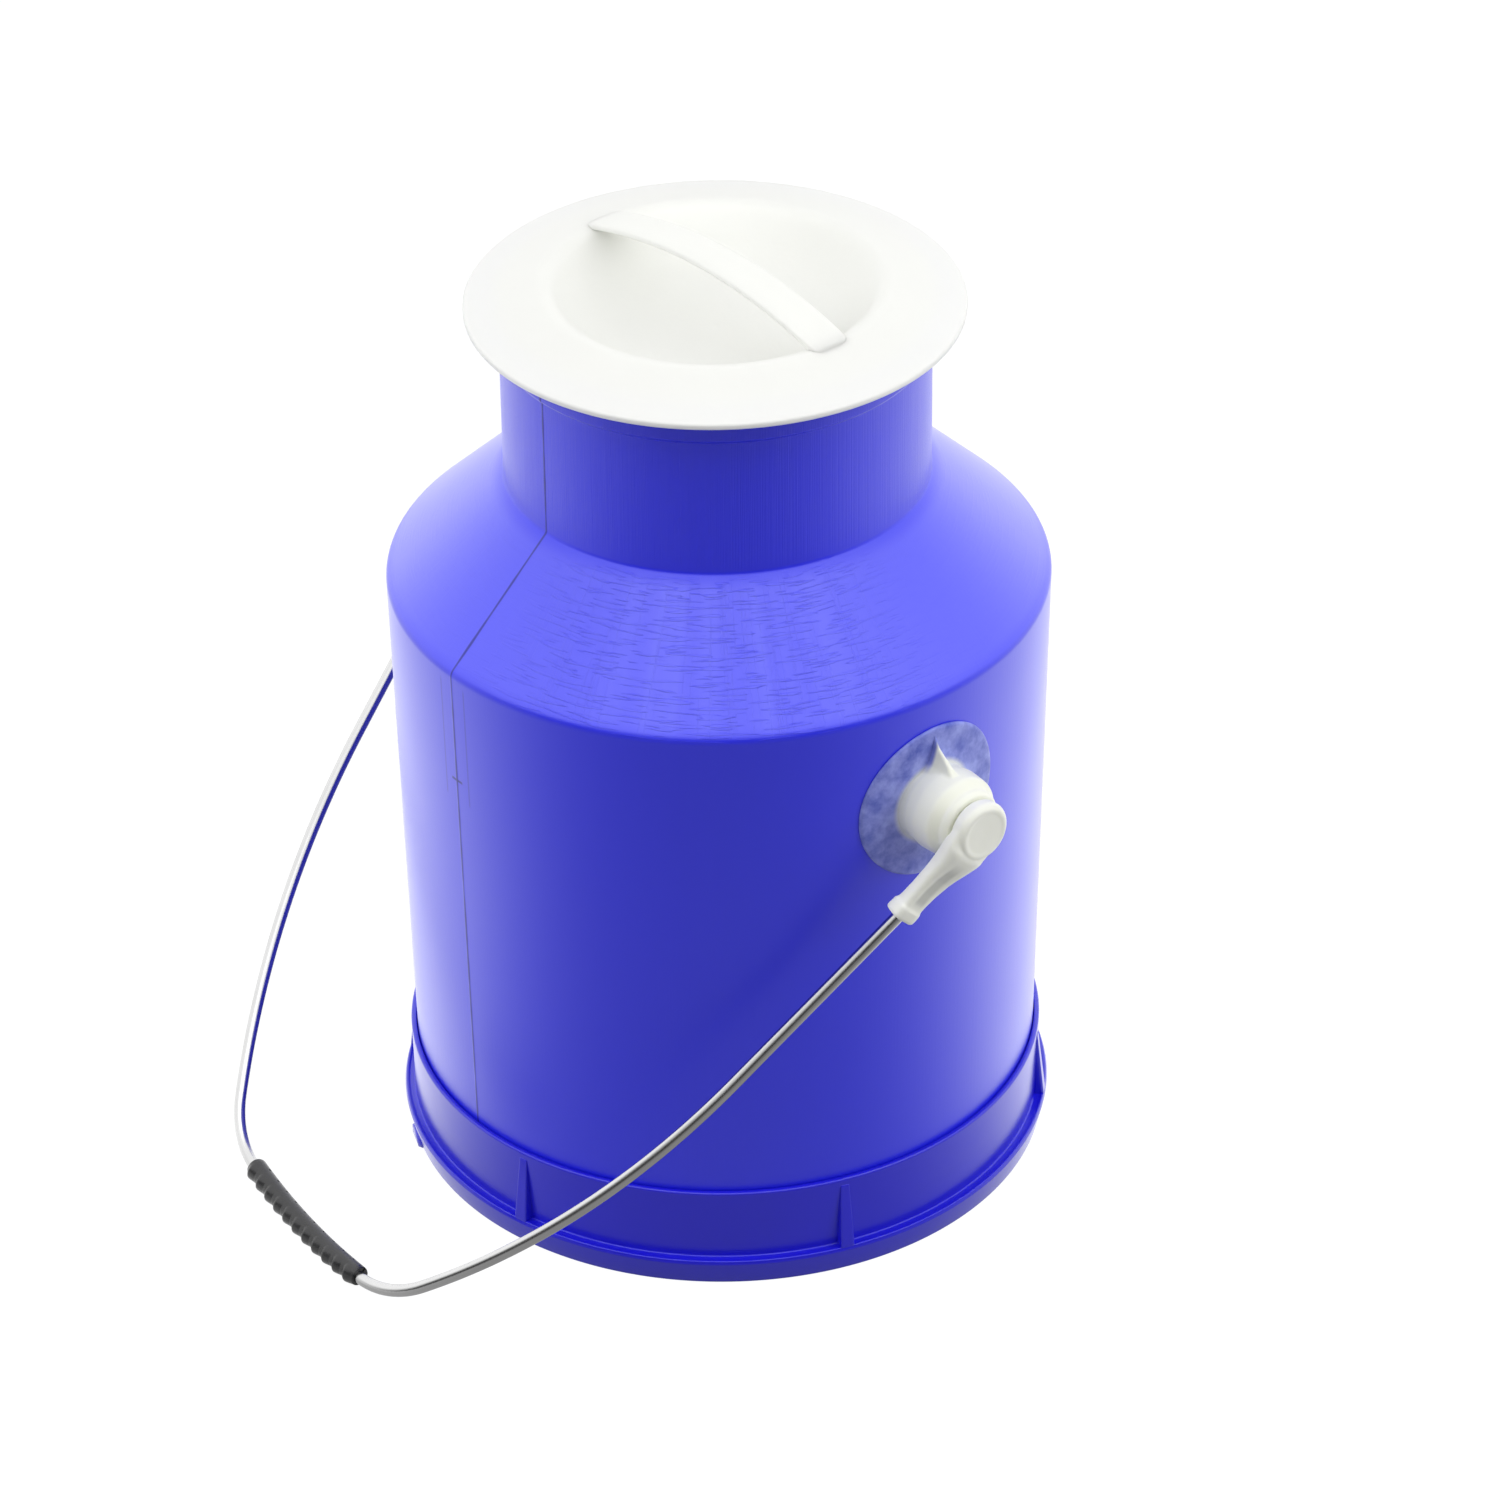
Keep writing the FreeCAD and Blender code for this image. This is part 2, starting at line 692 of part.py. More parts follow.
def make_bail_end(name, side):
    """A bail end: side is 1 at the pivot on +X and -1 at the pivot on -X."""
    corners = bail_corners()
    ends = {1: (corners[0], corners[1]), -1: (corners[-1], corners[-2])}
    hub, bend = ends[side]
    way = bend - hub
    lean = math.degrees(math.atan2(-way.x * side, way.y))
    body = new_body(name)
    half = size("head_thickness") / 2
    plate = size("arm_thickness")
    length = size("arm_length")
    sidewise = FreeCAD.Vector(0, 1, 0)

    head_sketch = new_sketch(body, "head_outline", "YZ_Plane")
    draw_circle(head_sketch, ZERO, ZERO, size("head_radius"))
    head = extrude(body, "Pad", "head", head_sketch, size("head_thickness"), midplane=True)
    rounded(body, "head_rim", head, size("head_rounding"), [(size("head_radius"), ACROSS, half)])

    offset = size("arm_offset").value
    root_place = FreeCAD.Vector(0, 0, offset)
    along_arm = FreeCAD.Placement(root_place, FreeCAD.Rotation(sidewise, lean))
    arm_sketch = new_sketch(body, "arm_outline", "YZ_Plane", along_arm)
    root = size("arm_root_width") / 2
    narrow = size("arm_width") / 2
    collar_foot = length - size("arm_collar_length")
    arm_root = size("head_radius") * size("arm_root_share")
    arm_end = collar_foot + size("arm_collar_overlap")
    draw_outline(arm_sketch, [
        (arm_root, -root),
        (length / 2, -narrow),
        (arm_end, -narrow),
        (arm_end, narrow),
        (length / 2, narrow),
        (arm_root, root),
    ])
    extrude(body, "Pad", "arm", arm_sketch, plate, midplane=True)
    collar_sketch = new_sketch(body, "collar_outline", "YZ_Plane", along_arm)
    collar = size("arm_collar_width") / 2
    draw_outline(collar_sketch, rectangle(collar_foot, length, -collar, collar))
    thick = size("arm_collar_thickness")
    extrude(body, "Pad", "arm_collar", collar_sketch, thick, midplane=True)

    outer = FreeCAD.Placement(FreeCAD.Vector(0, 0, half.value), FreeCAD.Rotation())
    dish_sketch = new_sketch(body, "head_dish_outline", "YZ_Plane", outer)
    dish_sketch.setExpression("AttachmentOffset.Base.z", half.text)
    draw_circle(dish_sketch, ZERO, ZERO, size("head_dish_radius"))
    extrude(body, "Pocket", "head_dish", dish_sketch, size("head_dish_depth"))

    inner = FreeCAD.Placement(FreeCAD.Vector(0, 0, -half.value), FreeCAD.Rotation())
    eye_sketch = new_sketch(body, "eye_outline", "YZ_Plane", inner)
    eye_sketch.setExpression("AttachmentOffset.Base.z", f"-1 * {half.text}")
    draw_circle(eye_sketch, ZERO, ZERO, size("pin_radius") + size("pivot_clearance"))
    depth = pin_length - size("head_gap") + size("eye_end_gap")
    extrude(body, "Pocket", "eye", eye_sketch, depth, back=True)

    relief_sketch = new_sketch(body, "relief_profile", "XY_Plane")
    inner_face = -half
    far = inner_face - length
    gap = size("relief_gap")
    relief = [
        (inner_face - (boss_end - place), radius)
        for place, radius in boss_outline(gap, boss_end - length, boss_end)
    ]
    draw_outline(relief_sketch, [(far, ZERO)] + relief + [(inner_face, ZERO)])
    turn(body, "Groove", "boss_relief", relief_sketch, axis="H_Axis")

    down = FreeCAD.Vector(-math.sin(math.radians(lean)), math.cos(math.radians(lean)), 0)
    mouth = ACROSS * offset + down * length.value
    at_mouth = FreeCAD.Vector(mouth.x, mouth.z, -mouth.y)
    across_arm = FreeCAD.Placement(at_mouth, FreeCAD.Rotation(sidewise, lean))
    socket_sketch = new_sketch(body, "socket_outline", "XZ_Plane", across_arm)
    draw_circle(socket_sketch, ZERO, ZERO, size("wire_radius") + size("wire_fit"))
    extrude(body, "Pocket", "socket", socket_sketch, size("socket_depth"), back=True)

    facing = FreeCAD.Rotation(sidewise, 0 if side > 0 else 180)
    seated = FreeCAD.Placement(ACROSS * (head_middle.value * side), facing)
    body.Placement = bail_placement().multiply(seated)
    return body


def make_bail_grip():
    body = new_body("bail_grip")
    turn_angle = Size(2 * size("bow_half_turn").value, "(2 * Sizes.bow_half_turn)")
    rib_pitch = turn_angle / RIB_COUNT
    corner_depth = bow_corner_depth()
    centre_depth = corner_depth - bow_radius() / cosine(size("bow_half_turn").value)
    centre = Size(centre_depth, repr(centre_depth))
    crown_depth = centre_depth + bow_radius()
    crown = Size(crown_depth, repr(crown_depth))
    bore = size("wire_radius") + size("wire_fit")

    def section(name, across, radius):
        sketch = new_sketch(body, name, "YZ_Plane")
        draw_circle(sketch, across, ZERO, radius)
        draw_axis(sketch, (centre, ZERO), (centre, size("grip_radius")))
        return sketch

    sleeve_sketch = section("sleeve_section", crown, size("grip_radius"))
    turn(body, "Revolution", "sleeve", sleeve_sketch, "Axis0", turn_angle)
    rib_sketch = section("rib_section", crown + size("rib_step"), size("grip_radius"))
    rib = turn(body, "Revolution", "rib", rib_sketch, "Axis0", rib_pitch * size("rib_share"))
    document.recompute()
    for name, back in (("ribs_ahead", False), ("ribs_behind", True)):
        pattern = body.newObject("PartDesign::PolarPattern", name)
        pattern.Originals = [rib]
        pattern.Axis = (rib_sketch, ["Axis0"])
        pattern.Angle = rib_pitch.value * (RIB_COUNT // 2)
        pattern.Occurrences = RIB_COUNT // 2 + 1
        pattern.Reversed = back
        body.Tip = pattern
        document.recompute()
    bore_sketch = section("bore_section", crown, bore)
    turn(body, "Groove", "bore", bore_sketch, "Axis0", turn_angle * RUN_PAST)
    slit_sketch = new_sketch(body, "slit_section", "YZ_Plane")
    slit = size("slit_width") / 2
    draw_outline(slit_sketch, rectangle(crown - size("grip_radius") * RUN_PAST, crown, -slit, slit))
    draw_axis(slit_sketch, (centre, ZERO), (centre, size("grip_radius")))
    turn(body, "Groove", "slit", slit_sketch, "Axis0", turn_angle * RUN_PAST)
    leaning = FreeCAD.Placement(FreeCAD.Vector(), lean_rotation())
    body.Placement = bail_placement().multiply(leaning)
    return body


# The whole can ------------------------------------------------------------------------------

pieces = [
    make_can_body(),
    make_foot_ring(),
    make_lid(),
    make_stud("stud_right", 0),
    make_stud("stud_left", 180),
    make_bail_end("bail_end_right", 1),
    make_bail_end("bail_end_left", -1),
    make_bail_wire(),
    make_bail_grip(),
]
document.recompute()

for item in document.Objects:
    faults = [state for state in item.State if state in ("Invalid", "Error")]
    if faults:
        raise RuntimeError(f"{item.Name} is {faults}")
for piece in pieces:
    if piece.Shape.isNull() or not piece.Shape.isValid() or len(piece.Shape.Solids) != 1:
        raise RuntimeError(f"{piece.Label} is not one valid solid")

wire_section_area = math.pi * size("wire_radius").value ** 2
wire_volume = next(piece for piece in pieces if piece.Label == "bail_wire").Shape.Volume
print(f"wire volume over section times length: {wire_volume / wire_section_area / bail_path().Length:.5f}")

os.makedirs("parts", exist_ok=True)
for piece in pieces:
    piece.Shape.exportStep(f"parts/{piece.Label}.step")
    print(f"{piece.Label}: volume {piece.Shape.Volume:.0f}")
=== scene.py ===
import json
import math

import bmesh
import bpy
from mathutils import Matrix, Vector


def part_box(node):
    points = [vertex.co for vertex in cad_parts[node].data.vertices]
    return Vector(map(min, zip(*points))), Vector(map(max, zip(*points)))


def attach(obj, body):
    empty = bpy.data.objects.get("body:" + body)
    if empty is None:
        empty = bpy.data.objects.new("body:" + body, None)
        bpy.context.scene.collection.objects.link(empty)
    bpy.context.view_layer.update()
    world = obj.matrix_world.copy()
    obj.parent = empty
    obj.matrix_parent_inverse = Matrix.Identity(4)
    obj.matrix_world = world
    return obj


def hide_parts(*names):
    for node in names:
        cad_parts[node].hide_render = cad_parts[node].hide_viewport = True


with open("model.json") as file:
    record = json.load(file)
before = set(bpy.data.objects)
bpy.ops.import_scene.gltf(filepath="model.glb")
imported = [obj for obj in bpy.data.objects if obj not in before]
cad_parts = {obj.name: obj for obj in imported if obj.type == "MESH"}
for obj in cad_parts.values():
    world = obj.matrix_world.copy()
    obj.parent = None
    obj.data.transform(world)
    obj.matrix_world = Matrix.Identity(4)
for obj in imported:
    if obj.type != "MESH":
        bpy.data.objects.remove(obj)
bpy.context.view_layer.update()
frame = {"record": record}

bl_info = {
    "name": "Plastic milk can",
    "version": (1, 0, 0),
    "blender": (4, 5, 0),
    "location": "3D View > Sidebar > Milk can",
    "description": "Dresses a plastic milk can: body, foot ring, lid, studs and bail",
    "category": "Object",
}

MM = 0.001
WHITE = (1.0, 1.0, 1.0, 1.0)
PLASTIC_IOR = 1.5
SOFT_EDGE, CREASE = 50, 60  # angles in degrees above which an edge is drawn sharp
WELD_VOXEL = 0.4 * MM
AROUND = 240  # sides of the body and the foot ring
RING_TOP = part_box("foot_ring")[1][2]
PIVOT = Vector(next(joint["pos_m"] for joint in frame["record"]["behaviour"]["joints"]))


def amount(name, value, description, **settings):
    return bpy.props.FloatProperty(name=name, description=description, default=value, **settings)


def tally(name, value, description):
    return bpy.props.IntProperty(name=name, description=description, default=value)


def length(name, millimetres, description):
    """A length property whose default is given in millimetres."""
    return amount(name, millimetres * MM, description, unit="LENGTH", precision=5)


def angle(name, degrees, description):
    """An angle property whose default is given in degrees."""
    return amount(name, math.radians(degrees), description, subtype="ANGLE")


def colour(name, rgb, description):
    return bpy.props.FloatVectorProperty(
        name=name, description=description, default=rgb, size=3, subtype="COLOR", min=0, max=1)


# Sizes and colours --------------------------------------------------------------------------

class CanBodySizes(bpy.types.PropertyGroup):
    """Sizes and colours of the blue body"""
    wall_radius: length("Wall radius", 117.0, "Radius of the wall at the shoulder's edge")
    foot_radius: length("Foot radius", 112.8, "Radius of the wall inside the foot ring")
    foot_height: length("Foot height", 3.0, "Height of the body's underside")
    shoulder_height: length("Shoulder height", 230.0, "Height of the shoulder's edge")
    neck_height: length("Neck height", 270.0, "Height of the neck's foot")
    neck_radius: length("Neck radius", 74.6, "Radius of the neck")
    lip_depth: length("Lip depth", 14.0, "How far the lip reaches down the neck")
    lip_overhang: length("Lip overhang", 0.8, "How far the lip stands out from the neck")
    mouth_height: length("Mouth height", 335.0, "Height of the neck's top")
    mouth_radius: length("Mouth radius", 72.0, "Radius of the mouth that takes the plug")
    mouth_depth: length("Mouth depth", 17.3, "Depth of the recess for the plug")
    seam_height: length("Seam height", 0.08, "How far the mould seam stands out")
    tick_height: length("Tick height", 186.0, "Height of the short cross mark on the seam")
    side_mark: length("Side mark", 6.4, "Distance of the faint side lines from the seam")
    blue: colour("Blue", (0.015, 0.019, 0.87), "Colour of the body's plastic")
    seam_blue: colour("Seam blue", (0.015, 0.015, 0.25), "Colour along the mould seam")
    # Paler blue of the painted sheen and painted light on the shoulder, and of its scratches.
    painted_sheen_blue: colour("Sheen blue", (0.07, 0.08, 0.92), "Colour of the rubbed shoulder's streaks")


class FootRingSizes(bpy.types.PropertyGroup):
    """Sizes and colours of the foot ring"""
    skirt_radius: length("Skirt radius", 117.0, "Radius of the ring's underside")
    ledge_radius: length("Ledge radius", 119.1, "Radius of the ledge's outer edge")
    ledge_height: length("Ledge height", 10.4, "Height of the ledge")
    bead: length("Bead", 0.4, "Height of the rounded bead on the ledge's edge")
    wall: length("Wall", 2.0, "Thickness of the ring's wall")
    floor: length("Floor", 3.0, "Thickness of the ring's floor")
    gap: length("Gap", 0.3, "Gap between the ring's wall and the body")
    gussets: tally("Gussets", 6, "Number of gussets on the ledge")
    first_gusset: angle("First gusset", 43.0, "Angle of the first gusset from the right stud")
    gusset_foot: length("Gusset foot", 5.5, "Width of a gusset on the ledge")
    gusset_top: length("Gusset top", 3.3, "Width of a gusset at its top")
    gusset_drop: length("Gusset drop", 2.5, "How far a gusset ends below the wall's top")
    tab_angle: angle("Tab angle", -113.5, "Angle of the small tab on the skirt's lower edge")
    tab_width: length("Tab width", 12.0, "Width of the tab")
    tab_reach: length("Tab reach", 1.5, "How far the tab stands out")
    tab_height: length("Tab height", 4.0, "Height of the tab")
    blue: colour("Blue", (0.012, 0.009, 0.70), "Colour of the ring's plastic")


class LidSizes(bpy.types.PropertyGroup):
    """Sizes and colours of the lid"""
    rim_radius: length("Rim radius", 86.5, "Radius of the lid's rim")
    rim_foot: length("Rim foot", 332.7, "Height of the rim's lower edge")
    rim_thickness: length("Rim thickness", 2.2, "Thickness of the rim")
    crest_radius: length("Crest radius", 60.0, "Radius of the rounded crest round the dish")
    crest_height: length("Crest height", 341.0, "Height of the crest")
    dish_height: length("Dish height", 324.0, "Height of the dish's middle")
    dish_radius: length("Dish radius", 45.0, "Radius where the dish's floor meets its wall")
    wall: length("Wall", 2.5, "Thickness of the lid")
    plug_radius: length("Plug radius", 71.7, "Outer radius of the plug")
    plug_foot: length("Plug foot", 318.0, "Height of the plug's lower edge")
    plug_wall: length("Plug wall", 2.4, "Thickness of the plug")
    strap_angle: angle("Strap angle", 2.0, "Angle of the strap from the pivot line")
    strap_width: length("Strap width", 15.0, "Width of the strap")
    strap_thickness: length("Strap thickness", 3.0, "Thickness of the strap")
    strap_top: length("Strap top", 351.9, "Height of the strap's crown")
    strap_seat: length("Strap seat", 339.6, "Height of the strap's underside at its ends")
    white: colour("White", (0.90, 0.905, 0.87), "Colour of the lid's plastic")


class StudSizes(bpy.types.PropertyGroup):
    """Sizes and colours of the studs and bail ends"""
    disc_radius: length("Disc radius", 29.2, "Radius of the disc on the wall")
    disc_thickness: length("Disc thickness", 1.3, "How far the disc stands off the wall")
    boss_foot: length("Boss foot", 14.0, "Radius of the boss where it leaves the disc")
    boss_radius: length("Boss radius", 15.4, "Radius of the boss")
    boss_end: length("Boss end", 138.2, "Distance of the boss's end from the can's axis")
    collar_radius: length("Collar radius", 11.0, "Radius of the collar at the boss's end")
    pin_radius: length("Pin radius", 3.9, "Radius of the pivot pin")
    fin_rise: length("Fin rise", 25.0, "Height of the fin's tip above the pivot")
    head_inner: length("Head inner face", 138.74, "Distance of the head from the can's axis")
    head_thickness: length("Head thickness", 6.4, "Thickness of the bail end's head")
    head_radius: length("Head radius", 11.0, "Radius of the bail end's head")
    arm_offset: length("Arm offset", 0.6, "How far the arm stands out from the head's middle")
    white: colour("White", (0.92, 0.935, 0.82), "Colour of the studs' plastic")
    end_white: colour("End white", (0.93, 0.94, 0.86), "Colour of the bail ends' plastic")
    # Grey of the painted shade in the arm's recess, where the wire also shows through.
    recess_shade_grey: colour("Recess grey", (0.42, 0.43, 0.41), "Colour where the wire shows through")


class BailSizes(bpy.types.PropertyGroup):
    """Sizes and colours of the bail"""
    wire_radius: length("Wire radius", 2.25, "Radius of the wire")
    rest_angle: angle("Rest angle", 43.55, "Slope of the bail at rest, from hanging straight down")
    lean: angle("Lean", 5.65, "How far the bail leans in its own plane")
    leg_inset: length("Leg inset", 33.25, "How far the long bends lie inside the heads")
    bend_height: length("Bend height", 77.35, "Height of the long bends above the bow's corner")
    bend_share: amount("Bend share", 0.795, "Share of the side that the long bend takes")
    elbow_reach: length("Elbow reach", 16.6, "How far an elbow's arc reaches from its corner")
    bow_half_turn: angle("Bow half turn", 6.47, "Half the turn of the bow under the grip")
    grip_length: length("Grip length", 72.0, "Length of the grip")
    grip_radius: length("Grip radius", 4.0, "Radius of the grip's sleeve")
    rib_step: length("Rib step", 0.5, "How far the ribs stand out on the outer side")
    ribs: tally("Ribs", 11, "Number of ribs on the grip")
    steel: colour("Steel", (0.54, 0.54, 0.54), "Colour of the wire")
    black: colour("Black", (0.017, 0.017, 0.018), "Colour of the grip")


class StudioSettings(bpy.types.PropertyGroup):
    """The camera and the lights"""
    azimuth: angle("Azimuth", 52.0, "Direction of the camera round the can")
    distance: length("Distance", 1821.0, "Level distance of the camera from the can's axis")
    height: length("Height", 1341.7, "Height of the camera above the ground")
    look_down: amount("Look down", 0.5795, "Pitch of the camera below level", subtype="ANGLE")
    look_aside: amount("Look aside", 0.0056, "Turn of the camera from the axis", subtype="ANGLE")
    roll: amount("Roll", 0.0114, "Roll of the camera", subtype="ANGLE")
    lens: amount("Lens", 145.52, "Focal length on a 36 mm sensor")
    floor_ahead: amount("Floor ahead", 0.43, "Mirrored brightness of the floor before the can")
    floor_behind: amount("Floor behind", 1.75, "Mirrored brightness of the floor behind the can")


GROUPS = {
    "milk_can_body": CanBodySizes,
    "milk_can_ring": FootRingSizes,
    "milk_can_lid": LidSizes,
    "milk_can_studs": StudSizes,
    "milk_can_bail": BailSizes,
    "milk_can_studio": StudioSettings,
}


# Node trees ---------------------------------------------------------------------------------

class Value:
    """A node socket that takes part in Python expressions."""

    def __init__(self, tree, socket):
        self.tree = tree
        self.socket = socket

    def maths(self, operation, *others, **settings):
        return self.tree.add("ShaderNodeMath", 0, self, *others, operation=operation, **settings)

    def __add__(self, other):
        return self.maths("ADD", other)

    __radd__ = __add__

    def __mul__(self, other):
        return self.maths("MULTIPLY", other)

    __rmul__ = __mul__

    def __sub__(self, other):
        return self.maths("SUBTRACT", other)

    def __rsub__(self, other):
        return self.tree.add("ShaderNodeMath", 0, other, self, operation="SUBTRACT")

    def __truediv__(self, other):
        return self.maths("DIVIDE", other)

    def __abs__(self):
        return self.maths("ABSOLUTE")

    def limited(self):
        """The same value, kept between 0 and 1."""
        return self.maths("MULTIPLY", 1.0, use_clamp=True)

    def beside(self, output):
        """Another output of the same node."""
        return Value(self.tree, self.socket.node.outputs[output])


class Tree:
    """A node tree under construction. add makes any node and returns one of its outputs."""

    def __init__(self, tree):
        self.tree = tree
        self.tree.nodes.clear()

    def add(self, kind, output, *inputs, named=None, **settings):
        """Inputs go in by order or by name; settings are the node's own attributes."""
        node = self.tree.nodes.new(kind)
        for name, setting in settings.items():
            setattr(node, name, setting)
        for key, value in [*enumerate(inputs), *(named or {}).items()]:
            self.feed(node.inputs[key], value)
        return Value(self, node.outputs[output])

    def feed(self, socket, value):
        if isinstance(value, Value):
            self.tree.links.new(value.socket, socket)
        else:
            socket.default_value = value

    def parts(self, vector):
        """The three numbers of a vector."""
        first = self.add("ShaderNodeSeparateXYZ", 0, vector)
        return [first, first.beside(1), first.beside(2)]

    def rays(self):
        """Rays that see the plain backdrop, from the camera or through a piece, and glossy rays."""
        camera = self.add("ShaderNodeLightPath", "Is Camera Ray")
        seen = (camera + camera.beside("Is Transmission Ray")).limited()
        return seen, camera.beside("Is Glossy Ray")

    def output(self, kind, value):
        self.tree.links.new(value.socket, self.tree.nodes.new(kind).inputs[0])


class Shader(Tree):
    """A material's tree with the helpers that the can's finishes share."""

    def __init__(self, name):
        self.material = bpy.data.materials.new(name)
        self.material.use_nodes = True
        super().__init__(self.material.node_tree)

    def axes(self):
        """The place on the object, as a vector and as its three numbers."""
        place = self.add("ShaderNodeTexCoord", "Object")
        return place, self.parts(place)

    def noise(self, place, scale, detail=2.0, roughness=0.5):
        return self.add("ShaderNodeTexNoise", 0, named={
            "Vector": place, "Scale": scale, "Detail": detail, "Roughness": roughness})

    def streaks(self, place, scales, detail=2.0):
        """Noise with a scale of its own along each axis."""
        stretched = self.add("ShaderNodeMapping", 0, named={"Vector": place, "Scale": scales})
        return self.noise(stretched, 1.0, detail)

    def smooth(self, value, low, high):
        """0 below low, 1 above high and a smooth step between them."""
        return self.add("ShaderNodeMapRange", 0, value, low, high, 0.0, 1.0,
                        interpolation_type="SMOOTHSTEP", clamp=True)

    def fade(self, value, low, high):
        """1 below low, 0 above high and a smooth step between them."""
        return 1 - self.smooth(value, low, high)

    def mixed(self, share, first, second):
        mix = self.tree.nodes.new("ShaderNodeMix")
        mix.data_type = "RGBA"
        self.feed(mix.inputs["Factor"], share)
        for name, shade in (("A", first), ("B", second)):
            socket = next(item for item in mix.inputs if item.name == name and item.type == "RGBA")
            self.feed(socket, shade if isinstance(shade, Value) else (*shade, 1.0))
        return Value(self, next(item for item in mix.outputs if item.type == "RGBA"))

    def clouded(self, cloud, rgb, low, high=1.0):
        """A colour that drifts between a lower and a higher share of itself."""
        return self.mixed(cloud, *(tuple(share * part for part in rgb) for share in (low, high)))

    def bump(self, height, strength, distance):
        return self.add("ShaderNodeBump", 0, named={
            "Strength": strength, "Distance": distance, "Height": height})

    def finish(self, shade, roughness, normal, **sockets):
        """The surface; further sockets are named with underscores for spaces."""
        named = {"Base Color": shade, "Roughness": roughness, "Normal": normal}
        named.update({name.replace("_", " "): value for name, value in sockets.items()})
        surface = self.add("ShaderNodeBsdfPrincipled", 0, named=named)
        self.output("ShaderNodeOutputMaterial", surface)
        return self.material

    def plastic(self, shade, roughness, normal, **sockets):
        return self.finish(shade, roughness, normal, IOR=PLASTIC_IOR, **sockets)

    def waxy(self, shade, roughness, normal, weight, depths):
        """Plastic that light enters a little; depths are in millimetres for red, green, blue."""
        return self.plastic(
            shade, roughness, normal, Subsurface_Weight=weight, Subsurface_Scale=1.0,
            Subsurface_Radius=tuple(depth * MM for depth in depths))


# Meshes -------------------------------------------------------------------------------------

def arc(before, corner, after, radius, steps):
    """Points of the arc that rounds a corner."""
    arriving = (corner - before).normalized()
    leaving = (after - corner).normalized()
    half_turn = arriving.angle(leaving) / 2
    centre = corner + (leaving - arriving).normalized() * (radius / math.cos(half_turn))
    start = corner - arriving * (radius * math.tan(half_turn)) - centre
    side = math.copysign(1, arriving.cross(leaving).z)
    return [centre + Matrix.Rotation(side * 2 * half_turn * step / steps, 3, "Z") @ start
            for step in range(steps + 1)]


def rounded_outline(corners, steps=6):
    """Points through corners (across, up, rounding), with an arc at each rounded corner."""
    places = [Vector((across, up, 0)) for across, up, _ in corners]
    points = [places[0]]
    for index, (_, _, rounding) in enumerate(corners[1:-1], start=1):
        if rounding > 0:
            points += arc(*places[index - 1:index + 2], rounding, steps)
        else:
            points.append(places[index])
    return [(point.x, point.y) for point in points + [places[-1]]]


def divided(points, longest):
    """The same outline with its long sides divided, and a close point beside each bend."""
    beside_bend = 0.4 * MM
    result = [points[0]]
    for start, end in zip(points, points[1:]):
        span = math.dist(start, end)
        parts = math.ceil(span / longest)
        shares = [step / parts for step in range(1, parts)]
        if span > 2 * longest:
            shares = [beside_bend / span] + shares + [1 - beside_bend / span]
        for share in shares:
            result.append(tuple(first + (last - first) * share for first, last in zip(start, end)))
        result.append(end)
    return result


def even_azimuths(sides):
    return [2 * math.pi * side / sides for side in range(sides)]


def squared_round(sides, across_power, up_power):
    """Points (across, up) round a squarish curve that reaches from -1 to 1 both ways."""
    def blunted(share, power):
        return math.copysign(abs(share) ** power, share)

    return [(blunted(math.cos(turn), across_power), blunted(math.sin(turn), up_power))
            for turn in even_azimuths(sides)]


def bridge(shape, lower, upper):
    """Faces between two rings of vertices, either of which may be a single pole."""
    sides = max(len(lower), len(upper))
    for index in range(sides if sides > 1 else 0):
        following = (index + 1) % sides
        loop = [lower[index % len(lower)], lower[following % len(lower)],
                upper[following % len(upper)], upper[index % len(upper)]]
        shape.faces.new(list(dict.fromkeys(loop)))


def loft(rings, in_strips=False):
    """A closed shell through rings of points, where a ring of one point is a pole. With
    in_strips, each end joins the two halves of its ring, which run out and back."""
    shape = bmesh.new()
    made = [[shape.verts.new(point) for point in ring] for ring in rings]
    for lower, upper in zip(made, made[1:]):
        bridge(shape, lower, upper)
    for ring in (made[0], made[-1]):
        if in_strips:
            for index in range(len(ring) // 2 - 1):
                shape.faces.new((ring[index], ring[index + 1], ring[-index - 2], ring[-index - 1]))
        elif len(ring) > 1:
            shape.faces.new(ring)
    bmesh.ops.recalc_face_normals(shape, faces=shape.faces)
    return shape


def lathe(outline, azimuths, shift=lambda azimuth, radius, height: 0.0):
    """Turns an outline of (radius, height) about the Z axis; points on the axis become poles."""
    rings = []
    for radius, height in outline:
        ring = [(0, 0, height)]
        if radius > 1e-7:
            reaches = [(radius + shift(turn, radius, height), turn) for turn in azimuths]
            ring = [(out * math.cos(turn), out * math.sin(turn), height) for out, turn in reaches]
        rings.append(ring)
    return loft(rings)


def tube(points, radius, sides):
    """A closed tube of a round section along points."""
    rings = []
    across = None
    for index, point in enumerate(points):
        before = points[max(index - 1, 0)]
        after = points[min(index + 1, len(points) - 1)]
        way = (after - before).normalized()
        if across is None:
            across = way.orthogonal().normalized()
        across = (across - way * across.dot(way)).normalized()
        other = way.cross(across)
        rings.append([point + radius * (math.cos(turn) * across + math.sin(turn) * other)
                      for turn in even_azimuths(sides)])
    return loft(rings)


def moved(shape, matrix):
    bmesh.ops.transform(shape, matrix=matrix, verts=shape.verts)
    return shape


def mesh_of(name, shape):
    """A mesh from a shell, which goes away."""
    mesh = bpy.data.meshes.new(name)
    shape.to_mesh(mesh)
    shape.free()
    return mesh


def joined(*shapes):
    """One shell of several."""
    result = bmesh.new()
    for shape in shapes:
        mesh = mesh_of("shell", shape)
        result.from_mesh(mesh)
        bpy.data.meshes.remove(mesh)
    return result


